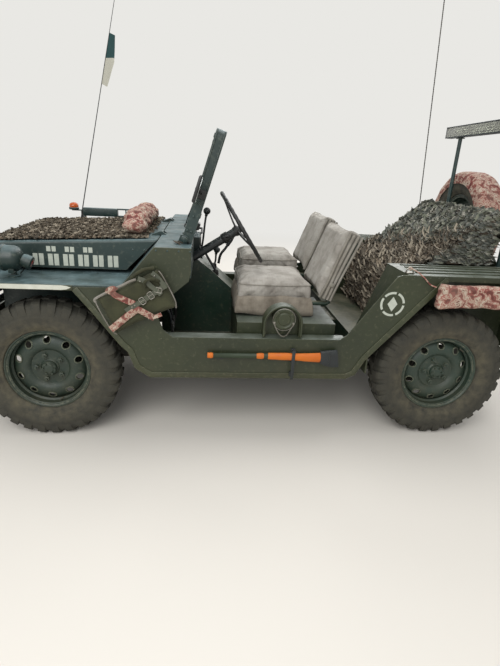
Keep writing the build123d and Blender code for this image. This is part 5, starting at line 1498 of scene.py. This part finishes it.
def fluted(name, colour, clear, flute_mm):
    """Pressed glass or plastic lens: see-through share, upright flutes and a film of dust."""
    material, tree, shader, place = new_material(name, 0.08)
    shader.inputs["Transmission Weight"].default_value = clear
    shader.inputs["IOR"].default_value = 1.46
    tone = mixed(tree, times(tree, blotches(tree, place, 45, 0.4, 0.75, 5.0), 0.35), colour, "#8f8a7c")
    tree.links.new(tone, shader.inputs["Base Color"])
    ribs = add(tree, "ShaderNodeTexWave", {"bands_direction": "Y", "Scale": 1000.0 / flute_mm / 20},
               {"Vector": place})
    raised(tree, shader, ribs.outputs["Fac"], 1.4, 0.8)
    return material


clear_lens = fluted("fluted_headlamp_glass", "#d5dad6", 0.45, 9)
red_lens = fluted("ribbed_red_lens", "#8c120c", 0.25, 5)
orange_lens = fluted("ribbed_orange_beacon_dome", "#c2560f", 0.3, 6)
head_rims, head_lenses, head_bowls = bmesh.new(), bmesh.new(), bmesh.new()
lamp_centre_y, lamp_centre_z = 405, 800
for side in (-1, 1):
    lamp_place = along(at(-340.5, side * lamp_centre_y, lamp_centre_z), (-1, 0, 0))
    spun(head_rims, [(0, 70), (0, 86), (50, 88), (56, 91), (64, 91), (70, 87), (73, 80), (70, 74), (62, 72)],
         lamp_place, 40)
    spun(head_lenses, [(60, 74.5), (66, 66), (71, 45), (73, 20), (73.5, 0)], lamp_place, 36)
    spun(head_bowls, [(8, 0), (10, 20), (22, 44), (40, 60), (58, 70)], lamp_place, 32)
    for a in [pi / 2 + turn for turn in full_turn(3)]:
        spun(head_rims, [(0, 0), (0, 5), (3, 4), (3, 0)],
             lamp_place @ Matrix.Translation(Vector((83.5 * cos(a), 83.5 * sin(a), 69)) * mm), 8)
head_piece = piece("headlamp_rims", head_rims, sky_tinted_hood_enamel, "chassis", 40)
piece("headlamp_glasses", head_lenses, clear_lens, "chassis", 60)
piece("headlamp_reflectors", head_bowls, bright_reflector, "chassis", 60)
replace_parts(head_piece, "front_lamps")

drive_shape = bmesh.new()
post_x, drive_y = -140, -650
drum_place = along(at(-189, drive_y, 950), (1, 0, 0))
drum_shell = [(0, 56), (1, 63), (6, 66), (14, 66), (17, 62), (60, 61), (80, 54), (94, 36), (99, 14),
              (99.5, 0)]
spun(drive_shape, drum_shell, drum_place, 36)
spun(drive_shape, [(0, 56), (6, 54), (6, 50)], drum_place, 36)
spun(drive_shape, [(0, 0), (0, 30), (6, 30), (9, 14), (44, 12), (62, 14), (70, 14)],
     along(at(post_x, drive_y, 856.5), (0, 0, 1)), 20)
brick(drive_shape, at(post_x, drive_y, 884), (34, 58, 6))
small_place = along(at(-96, drive_y, 944), (50, 0, -20))
spun(drive_shape, [(0, 20), (4, 30), (14, 33), (42, 34), (48, 33), (52, 28), (52, 20)], small_place, 28)
for side in (-1, 1):
    brick(drive_shape, at(post_x, drive_y + side * 34, 906), (26, 5, 52), Matrix(), 1.5)
    bolt_head(drive_shape, at(post_x, drive_y + side * 36.5, 926), (0, side, 0))
drive_piece = piece("drive_lamp_housing", drive_shape, sky_tinted_hood_enamel, "chassis", 40)
drive_glass = bmesh.new()
spun(drive_glass, [(4, 55), (2, 40), (0.5, 20), (0, 0)], drum_place, 32)
piece("drive_lamp_glass", drive_glass, clear_lens, "chassis", 60)
small_glass = bmesh.new()
spun(small_glass, [(50, 27), (53, 18), (54, 0)], small_place, 24)
piece("blackout_lamp_glass", small_glass, red_lens, "chassis", 60)
lamp_wire = bmesh.new()
lamp_wire_line = [at(-120, -622, 925), at(-108, -606, 905), at(-112, -600, 880), at(-128, -604, 862)]
tube(lamp_wire, smooth_path(lamp_wire_line, 6), 3.2 * mm, 6)
piece("drive_lamp_cable", lamp_wire, black_rubber, "chassis", 60)
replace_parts(drive_piece, "drive_lamp")

tail_shape, tail_glass = bmesh.new(), bmesh.new()
for tail_y in (-690, 690):
    tail_place = along(at(2640.5, tail_y, 640), (1, 0, 0))
    spun(tail_shape, [(0, 0), (0, 48), (22, 49.5), (40, 49.5), (47, 46), (48, 41), (44, 39)], tail_place, 32)
    spun(tail_glass, [(43, 40.5), (47, 30), (49, 12), (49, 0)], tail_place, 28)
    brick(tail_shape, at(2648, tail_y, 594), (14, 60, 8))
tail_piece = piece("tail_lamp_housings", tail_shape, olive_enamel, "chassis", 40)
piece("tail_lamp_lenses", tail_glass, red_lens, "chassis", 60)
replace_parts(tail_piece, "tail_lamps")

# Beacon bar: a thin steel box with an open tube frame behind it on two posts over the right
# fender, with an orange warning lamp on an arm at its front end.
beacon_shape = bmesh.new()
beacon_y = 735
brick(beacon_shape, at(-2, beacon_y, 1047), (262, 52, 60), Matrix(), 4)
for z in (1021, 1074):
    tube(beacon_shape, [at(125, beacon_y, z), at(338, beacon_y, z)], 6 * mm, 10)
tube(beacon_shape, [at(338, beacon_y, 1020), at(338, beacon_y, 1075)], 6 * mm, 10)
for x in (190, 262):
    tube(beacon_shape, [at(x, beacon_y, 1021), at(x, beacon_y, 1074)], 4.5 * mm, 8)
for x in (-120, 320):
    brick(beacon_shape, at(x, beacon_y, 938), (9, 34, 160), Matrix(), 1.5)
    brick(beacon_shape, at(x, beacon_y, 859.5), (15, 38, 5), Matrix(), 1.5)
    for side in (-1, 1):
        bolt_head(beacon_shape, at(x + side * 4.5, beacon_y, 1002), (side, 0, 0))
brick(beacon_shape, at(-172, beacon_y, 1056), (84, 30, 8))
for x in (-106, -40, 30, 100):
    spun(beacon_shape, [(0, 0), (0, 5), (2.5, 4.4), (3, 0)], along(at(x, 709, 1060), (0, -1, 0)), 10)
spun(beacon_shape, [(0, 0), (0, 36), (12, 37), (16, 34), (16, 0)],
     along(at(-200, beacon_y, 1060), (0, 0, 1)), 32)
beacon_piece = piece("beacon_bar_frame", beacon_shape, sky_tinted_hood_enamel, "chassis", 40)
dome = bmesh.new()
spun(dome, [(0, 33), (4, 34), (22, 32), (30, 24), (35, 12), (36, 0)],
     along(at(-200, beacon_y, 1076), (0, 0, 1)), 32)
piece("beacon_dome", dome, orange_lens, "chassis", 60)
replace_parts(beacon_piece, "beacon_bar")

# Light bar: cast aluminium housing with cooling ribs, four rows of small lamp cups behind a
# clear plastic cover, on two steel poles bolted to the rear panel; a red rag is tied to one.
cast_aluminium = coated("grey_coated_cast_aluminium", "#30373a", "#454c4e", "#86898a", 0.5, 0.6, 70, 1.4,
                        0.15)
bar_shape = bmesh.new()
bar_x, bar_z = 2608, 1751
brick(bar_shape, at(bar_x + 4, 0, bar_z), (38, 1096, 60), Matrix(), 4)
for z in (1716, 1786):
    brick(bar_shape, at(bar_x - 4, 0, z), (50, 1098, 6))
for side in (-1, 1):
    brick(bar_shape, at(bar_x, side * 545, bar_z), (56, 9, 76), Matrix(), 3)
    for z in (1728, 1774):
        spun(bar_shape, [(0, 0), (0, 6), (0.2, 6), (0.4, 0)],
             along(at(bar_x, side * 549.4, z), (0, side, 0)), 6)
bar_piece = piece("light_bar_housing", bar_shape, cast_aluminium, "chassis", 40)
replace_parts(bar_piece, "light_bar")
grid_tree, given = node_group("grid_on_a_wall", ("Wide", "Tall"), ("Columns", "Rows"))
wall = add(grid_tree, "GeometryNodeMeshGrid", (), {"Size X": given["Wide"], "Size Y": given["Tall"],
                                                    "Vertices X": given["Columns"],
                                                    "Vertices Y": given["Rows"]})
cells = add(grid_tree, "GeometryNodeInstanceOnPoints", (),
            {"Points": wall.outputs[0], "Instance": given["Geometry"]})
close_group(grid_tree, cells.outputs[0], given["Material"])


def on_grid(name, shape, where, values):
    """A small mesh repeated on an upright grid that is then set in place."""
    made = loose_object(name, shape, values["Material"])
    grown(made, grid_tree, values)
    made.data.transform(where)
    shade(made, 40)
    on_body(made, "chassis")


cup = bmesh.new()
spun(cup, [(0, 0), (1, 1.6), (0.6, 2.4), (5.5, 5.8), (6.0, 6.4), (5.5, 6.6), (0, 6.6)], Matrix(), 10)
on_grid("light_bar_lamp_cups", cup, along(at(bar_x - 17, 0, bar_z), (-1, 0, 0)),
        {"Wide": 1.054, "Tall": 0.045, "Columns": 76, "Rows": 4, "Material": bright_reflector})
rib = bmesh.new()
brick(rib, Vector(), (3, 62, 9), Matrix(), 0.8)
on_grid("light_bar_cooling_ribs", rib, along(at(bar_x + 26, 0, bar_z), (1, 0, 0)),
        {"Wide": 1.06, "Tall": 0.0, "Columns": 70, "Rows": 1, "Material": cast_aluminium})
tray = bmesh.new()
brick(tray, at(bar_x - 16.5, 0, bar_z), (1.5, 1076, 58), Matrix(), 0.5)
tray_white = coated("white_lamp_board", "#b9baae", "#c9cabe", "#77786f", 0.5, 0.0, 60, 2.0, 0.05)
piece("light_bar_board", tray, tray_white, "chassis", 40)
cover_lens = fluted("clear_plastic_cover", "#dcded4", 0.86, 40)
bar_cover = bmesh.new()
brick(bar_cover, at(bar_x - 26.5, 0, bar_z), (2.5, 1080, 62), Matrix(), 1)
piece("light_bar_cover", bar_cover, cover_lens, "chassis", 40)
bar_poles = bmesh.new()
for pole_y in (-375, 375):
    tube(bar_poles, [at(bar_x, pole_y, z) for z in (902, 1700, 1714)], 13.5 * mm, 18)
    for z in (908, 932):
        spun(bar_poles, [(0, 0), (0, 8), (4, 8), (5, 5), (5, 0)],
             along(at(bar_x - 13, pole_y, z), (-1, 0, 0)), 6)
    brick(bar_poles, at(2620, pole_y, 920), (22, 40, 38), Matrix(), 3)
    brick(bar_poles, at(bar_x, pole_y, 1707), (34, 62, 7))
piece("light_bar_poles", bar_poles, sky_tinted_hood_enamel, "chassis", 40)
rag = bmesh.new()
for k, z in enumerate((1604, 1616, 1627, 1580)):
    reach = 16 + k % 2
    tube(rag, [at(bar_x + reach * cos(a), -375 + reach * sin(a), z + 5 * sin(a + k)) for a in full_turn(20)],
         4.5 * mm, 6, True)
for dx, dz in ((-14, -66), (-20, -88)):
    tube(rag, smooth_path([at(bar_x - 14, -379, 1606), at(bar_x - 18 + dx / 3, -384, 1606 + dz / 2),
                           at(bar_x - 8 + dx / 2, -380, 1606 + dz)], 5), [5 * mm] * 6 + [3.5 * mm] * 5, 6)
piece("red_rag_tie", rag, red_camouflage, "chassis", 60)

# Whip aerials: fibreglass rods on turned rubber and steel bases; the front one carries a plain
# two-tone pennant, the rear one stands on a steel spring and is wound with cord.
whip_fibre = coated("black_fibreglass_whip", "#1b1d1c", "#2c2f2d", "#50524c", 0.45, 0.0, 120, 1.0, 0.1)
spring_steel = coated("dull_spring_steel", "#3b3c38", "#55544d", "#7c7a70", 0.45, 0.9, 40, 1.2, 0.1)
whip_base = bmesh.new()
whip_x, whip_y = 2599, 816
front_base_line = [(0, 0), (0, 23.5), (14, 23.5), (18, 20), (40, 20), (44, 16), (70, 17), (90, 15),
                   (104, 17), (118, 13), (132, 15), (146, 11), (160, 12), (176, 8), (203, 7), (203, 0)]
spun(whip_base, front_base_line, along(at(-120, 650, 856.5), (0, 0, 1)), 24)
for side in (-1, 1):
    brick(whip_base, at(2564 + (side + 1) * 30, 807, 900), (7, 30, 78))
brick(whip_base, at(2594, 794.5, 900), (66, 6, 78))
brick(whip_base, at(2594, 814, 936), (68, 44, 6))
spun(whip_base, [(0, 0), (0, 21), (10, 21), (12, 14), (24, 12), (24, 0)],
     along(at(whip_x, whip_y, 938), (0, 0, 1)), 20)
spun(whip_base, [(0, 0), (0, 13), (18, 14), (22, 9), (34, 7), (34, 0)],
     along(at(whip_x, whip_y, 1166), (0, 0, 1)), 20)
whip_piece = piece("aerial_bases", whip_base, black_rubber, "chassis", 40)
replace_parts(whip_piece, "whip_aerials")
turns, coil_low, coil_high = 17, 962, 1168
coil_path = [at(whip_x + 18 * cos(a), whip_y + 18 * sin(a),
                coil_low + (coil_high - coil_low) * a / (2 * pi * turns))
             for a in full_turn(14, turns)]
aerial_spring = bmesh.new()
tube(aerial_spring, coil_path, 3.4 * mm, 6)
piece("aerial_spring", aerial_spring, spring_steel, "chassis", 60)
rods = bmesh.new()
front_foot, front_tip = at(-120, 650, 1056), at(205, 690, 2560)
rear_foot, rear_tip = at(whip_x, whip_y, 1196), at(2499, 786, 2699)
bent = [front_foot.lerp(front_tip, t / 12) for t in range(13)]
tube(rods, bent, [(4 - 2.2 * t / 12) * mm for t in range(13)], 8)
tube(rods, [rear_foot, rear_foot.lerp(rear_tip, 0.5), rear_tip], [3.4 * mm, 3 * mm, 2.4 * mm], 8)
piece("aerial_rods", rods, whip_fibre, "chassis", 60)
wound = bmesh.new()
cord_turns = 60
for strand in (0, pi):
    cord_path = []
    for a in full_turn(8, cord_turns):
        p = rear_foot.lerp(rear_tip, 0.01 + 0.97 * a / (2 * pi * cord_turns))
        cord_path.append(p + Vector((cos(a + strand), sin(a + strand), 0)) * 3.1 * mm)
    tube(wound, cord_path, 1.7 * mm, 5)
piece("wound_aerial_cord", wound, net_twine, "chassis", 60)

# plain pennant of two stitched strips of bunting, hung from the front rod
pennant = bmesh.new()
pennant_low, pennant_high, pennant_out = 0.58, 0.79, 78
rows = []
for i in range(25):
    p = front_foot.lerp(front_tip, pennant_low + (pennant_high - pennant_low) * i / 24)
    row = []
    for j in range(9):
        out = pennant_out * (1 - abs(i - 12) / 12 * 0.35) * j / 8
        sway = 10 * sin(i * 0.42 + j * 0.5) * j / 8
        row.append(pennant.verts.new(p + Vector((0.8 * out, -0.3 * out - 0.4 * sway, -0.35 * out)) * mm))
    rows.append(row)
skin(pennant, rows)
bunting, bunting_tree, bunting_shader, bunting_place = new_material("two_tone_wool_bunting", 0.9)
bunting_height = add(bunting_tree, "ShaderNodeSeparateXYZ", (), {0: bunting_place}).outputs[2]
seam_height = 2.09
upper_half = maths(bunting_tree, "GREATER_THAN", bunting_height, seam_height)
bunting_tree.links.new(mixed(bunting_tree, upper_half, "#a9a79a", "#1c3b3b"),
                       bunting_shader.inputs["Base Color"])
raised(bunting_tree, bunting_shader, blotches(bunting_tree, bunting_place, 2.0, 0.3, 0.7), 0.3)
pennant_piece = piece("plain_pennant", pennant, bunting, "chassis", 80)

# Coil springs of the four wheels: round spring steel wire between pressed cups.
spring_coils = bmesh.new()
# place behind the front axle, out from the middle, foot, head
for x, y, foot_z, head_z in ((78, 440, 283, 438), (2029, 525, 306, 380)):
    for side in (-1, 1):
        turns = 5 if foot_z < 300 else 3
        coil = []
        for a in full_turn(20, turns):
            share_up = min(max((a - 1.6) / (2 * pi * turns - 3.2), 0), 1)
            coil.append(at(x + 38 * cos(a), side * (y + 38 * sin(a)),
                           foot_z + 6 + (head_z - foot_z - 12) * share_up))
        tube(spring_coils, coil, 5.5 * mm, 8)
coil_piece = piece("wheel_coil_springs", spring_coils, underseal, "chassis", 60)
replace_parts(coil_piece, "coil_springs")


# Trim of the tub: a rolled lip welded along the sill and both wheel arches, rivets along the
# seams, hood catches of pressed steel, and a few plain hand-painted marks.
def lip(shape, line, wide_mm, thick_mm, where):
    """Adds a raised strip that follows an edge line, on its left side, with mitred corners."""
    inner = []
    for i, (x, z) in enumerate(line):
        ways = [Vector(b) - Vector(a) for a, b in zip(line, line[1:])][max(i - 1, 0):i + 1]
        across = [Vector((-way.y, way.x)).normalized() for way in ways]
        mitre = sum(across, Vector((0, 0))).normalized()
        inner.append(tuple(Vector((x, z)) + mitre * wide_mm / mitre.dot(across[0])))
    slab(shape, line + inner[::-1], thick_mm, where)


lip_line = [(176, 828), (253, 732), (390, 549), (428, 511), (460, 421), (536, 370), (1590, 370), (1640, 394),
            (1688, 484), (2072, 929)]
rolled_lips = bmesh.new()
face_y = 791.1
for side in (-1, 1):
    near_wall = Matrix.Diagonal((1, -side, 1, 1)) @ upright(-face_y)
    lip(rolled_lips, lip_line, 30, 5, near_wall)
    lip(rolled_lips, [(-352, 829), (176, 829)], 26, 2.2, near_wall)
bmesh.ops.recalc_face_normals(rolled_lips, faces=rolled_lips.faces)
bmesh.ops.bevel(rolled_lips, geom=list(rolled_lips.edges), offset=1.6 * mm, segments=2, affect="EDGES",
                profile=0.5, clamp_overlap=True)
# a lighter copy of the tub's olive enamel on the rolled lips: the lighter tone is a painted highlight
lip_enamel = enamel("highlit_olive_enamel_on_lip", "#272c19", "#353a24", "#77745c", 0.42, 0.7, "#80836f",
                    "#4f4a35")
piece("rolled_lips", rolled_lips, lip_enamel, "chassis", 40)

# a cream strip along the left front fender's lip
cream_line = coated("cream_strip_on_fender_lip", "#b7b8aa", "#c6c7bb", "#5b6a5c", 0.55, 0.0, 35, 1.2, 0.1, 0.9)
stripe = bmesh.new()
slab(stripe, [(-350, 831), (128, 831), (150, 834), (172, 844), (150, 851), (128, 854), (-350, 854)], 0.4,
     upright(-793.4))
piece("cream_fender_line", stripe, cream_line, "chassis", 30)

# generic marks: plain stencil blocks on the hood's side, and a broken ring round a diamond
stencil_paint = coated("dull_stencil_paint", "#a9aea2", "#b9beb1", "#33453f", 0.6, 0.0, 22, 1.0, 0.08, 0.9)
blocks = bmesh.new()
hood_wall = upright(-510.1)
# first column, count, pitch, width, foot and head of the row
for first, count, pitch, wide, foot_z, head_z in ((-92, 6, 77, 55, 888, 950), (-20, 3, 94, 48, 962, 990)):
    for k in range(count):
        x = first + k * pitch
        for low, high in ((x, x + wide * 0.44), (x + wide * 0.56, x + wide)):
            slab(blocks, [(low, foot_z), (high, foot_z), (high, head_z), (low, head_z)], 0.35, hood_wall)
piece("stencil_blocks", blocks, stencil_paint, "hood", 30)
ring_mark = bmesh.new()
ring_x, ring_z, arcs = 1790, 802, 5
near_wall = upright(-face_y)
for k in range(arcs):
    turns = [2 * pi * (k + 0.08 + 0.84 * i / 10) / arcs for i in range(11)]
    outer = [(ring_x + 66 * cos(a), ring_z + 66 * sin(a)) for a in turns]
    slab(ring_mark, outer + [(ring_x + 54 * cos(a), ring_z + 54 * sin(a)) for a in turns[::-1]], 0.35,
         near_wall)
slab(ring_mark, [(ring_x, ring_z - 40), (ring_x + 27, ring_z), (ring_x, ring_z + 40), (ring_x - 27, ring_z)],
     0.35, near_wall)
piece("broken_ring_mark", ring_mark, stencil_paint, "chassis", 30)

# dome-headed rivets set at one pitch along seam lines
rivet_tree, given = node_group("rivets_along_a_line", ("Pitch", "Turn X", "Turn Y"))
seam = add(rivet_tree, "GeometryNodeMeshToCurve", (), {0: given["Geometry"]})
rivet_spots = add(rivet_tree, "GeometryNodeCurveToPoints", {"mode": "LENGTH"},
                  {"Curve": seam.outputs[0], "Length": given["Pitch"]})
rivet_ball = add(rivet_tree, "GeometryNodeMeshUVSphere", {"Segments": 10, "Rings": 6, "Radius": 5 * mm})
rivet_head = add(rivet_tree, "GeometryNodeTransform", {"Scale": (1.0, 1.0, 0.5)}, {0: rivet_ball.outputs[0]})
rivet_turn = add(rivet_tree, "ShaderNodeCombineXYZ", (), {0: given["Turn X"], 1: given["Turn Y"]})
rivets = add(rivet_tree, "GeometryNodeInstanceOnPoints", (),
             {"Points": rivet_spots.outputs[0], "Instance": rivet_head.outputs[0],
              "Rotation": rivet_turn.outputs[0]})
close_group(rivet_tree, rivets.outputs[0], given["Material"])
hood_green, tub_olive = (sky_tinted_hood_enamel, "hood_paint"), (olive_enamel, "paint")
# name, start and end of the seam, pitch in millimetres, turns about X and Y, paint with its slot, body
for name, start, end, pitch, turn_x, turn_y, (paint, slot), body in (
        ("left_cowl_rivets", (470, -791, 1036), (740, -791, 1036), 45, pi / 2, 0, hood_green, "chassis"),
        ("left_quarter_rivets", (1840, -791, 944), (2060, -791, 944), 44, pi / 2, 0, tub_olive, "chassis"),
        ("right_quarter_rivets", (1840, 791, 944), (2060, 791, 944), 44, pi / 2, 0, tub_olive, "chassis"),
        ("left_sill_rivets", (600, -791, 585), (1240, -791, 585), 80, pi / 2, 0, tub_olive, "chassis"),
        ("fender_rivets", (-330, -530, 856), (380, -530, 856), 71, 0, 0, hood_green, "chassis"),
        ("right_fender_rivets", (-330, 530, 856), (380, 530, 856), 71, 0, 0, hood_green, "chassis"),
        ("dash_rivets", (745.5, -620, 1030), (745.5, 700, 1030), 110, 0, pi / 2, hood_green, "chassis"),
        ("grille_rivets", (-400, -330, 962), (-400, 330, 962), 60, 0, pi / 2, hood_green, "chassis"),
        ("left_hood_rivets", (-340, -510, 900), (-120, -510, 900), 55, pi / 2, 0, hood_green, "hood")):
    seam_piece = line_object(name, [at(*start), at(*end)])
    pitches = {"Pitch": pitch * mm, "Turn X": turn_x, "Turn Y": turn_y, "Material": paint}
    shade(grown(seam_piece, rivet_tree, pitches), 60)
    on_body(seam_piece, body)

catches = bmesh.new()
for side in (-1, 1):
    brick(catches, at(-250, side * 513, 884), (44, 5, 26), Matrix(), 1.5)
    brick(catches, at(-250, side * 517, 892), (16, 5, 34), Matrix(), 1.5)
    spun(catches, [(0, 0), (0, 5), (4, 5), (5, 0)], along(at(-250, side * 519, 902), (0, side, 0)), 12)
piece("hood_catches", catches, sky_tinted_hood_enamel, "hood", 40)

# Loose ends: brown strands of the net that hang over the cowl, and a plated steel cleat on the
# left deck, from which a red cotton cord runs over the edge to the rolled cloth.
hanging = bmesh.new()
random.seed(5)
for k in range(9):
    start = at(668 + 3 * k, -640 - 9 * k % 60, 1058)
    path = []
    for i in range(6 + k % 4):
        across = -4 * i if i < 3 else -12 - i
        path.append(start + Vector((4 * i + random.uniform(-4, 4), across, -12 * i - 1.5 * i * i)) * mm)
    tube(hanging, smooth_path([start + Vector((-0.02, 0.02, 0.002))] + path, 3), 2.2 * mm, 5)
piece("hanging_net_strands", hanging, net_twine, "chassis", 80)
cleat = bmesh.new()
brick(cleat, at(1880, -735, 960), (44, 26, 6), Matrix(), 1.5)
cleat_line = [at(x, -735, z) for x, z in ((1862, 962), (1864, 980), (1896, 980), (1898, 962))]
tube(cleat, smooth_path(cleat_line, 4), 4 * mm, 8)
piece("deck_cleat", cleat, dull_steel, "chassis", 50)
red_cord_line = smooth_path([at(1880, -735, 984), at(1905, -770, 972), at(1932, -797, 950),
                             at(1968, -806, 916), at(1996, -822, 906)], 6)
red_cord = bmesh.new()
tube(red_cord, red_cord_line, 3.4 * mm, 8)
for a in (0.0, 0.5):
    tube(red_cord,
         [at(1880, -735, 981) + Vector((9 * cos(t), 7 * sin(t) * cos(a), 7 * sin(t) * sin(a + 1))) * mm
                    for t in full_turn(16)], 3.2 * mm, 7, True)
piece("red_tie_cord", red_cord, red_camouflage, "chassis", 60)
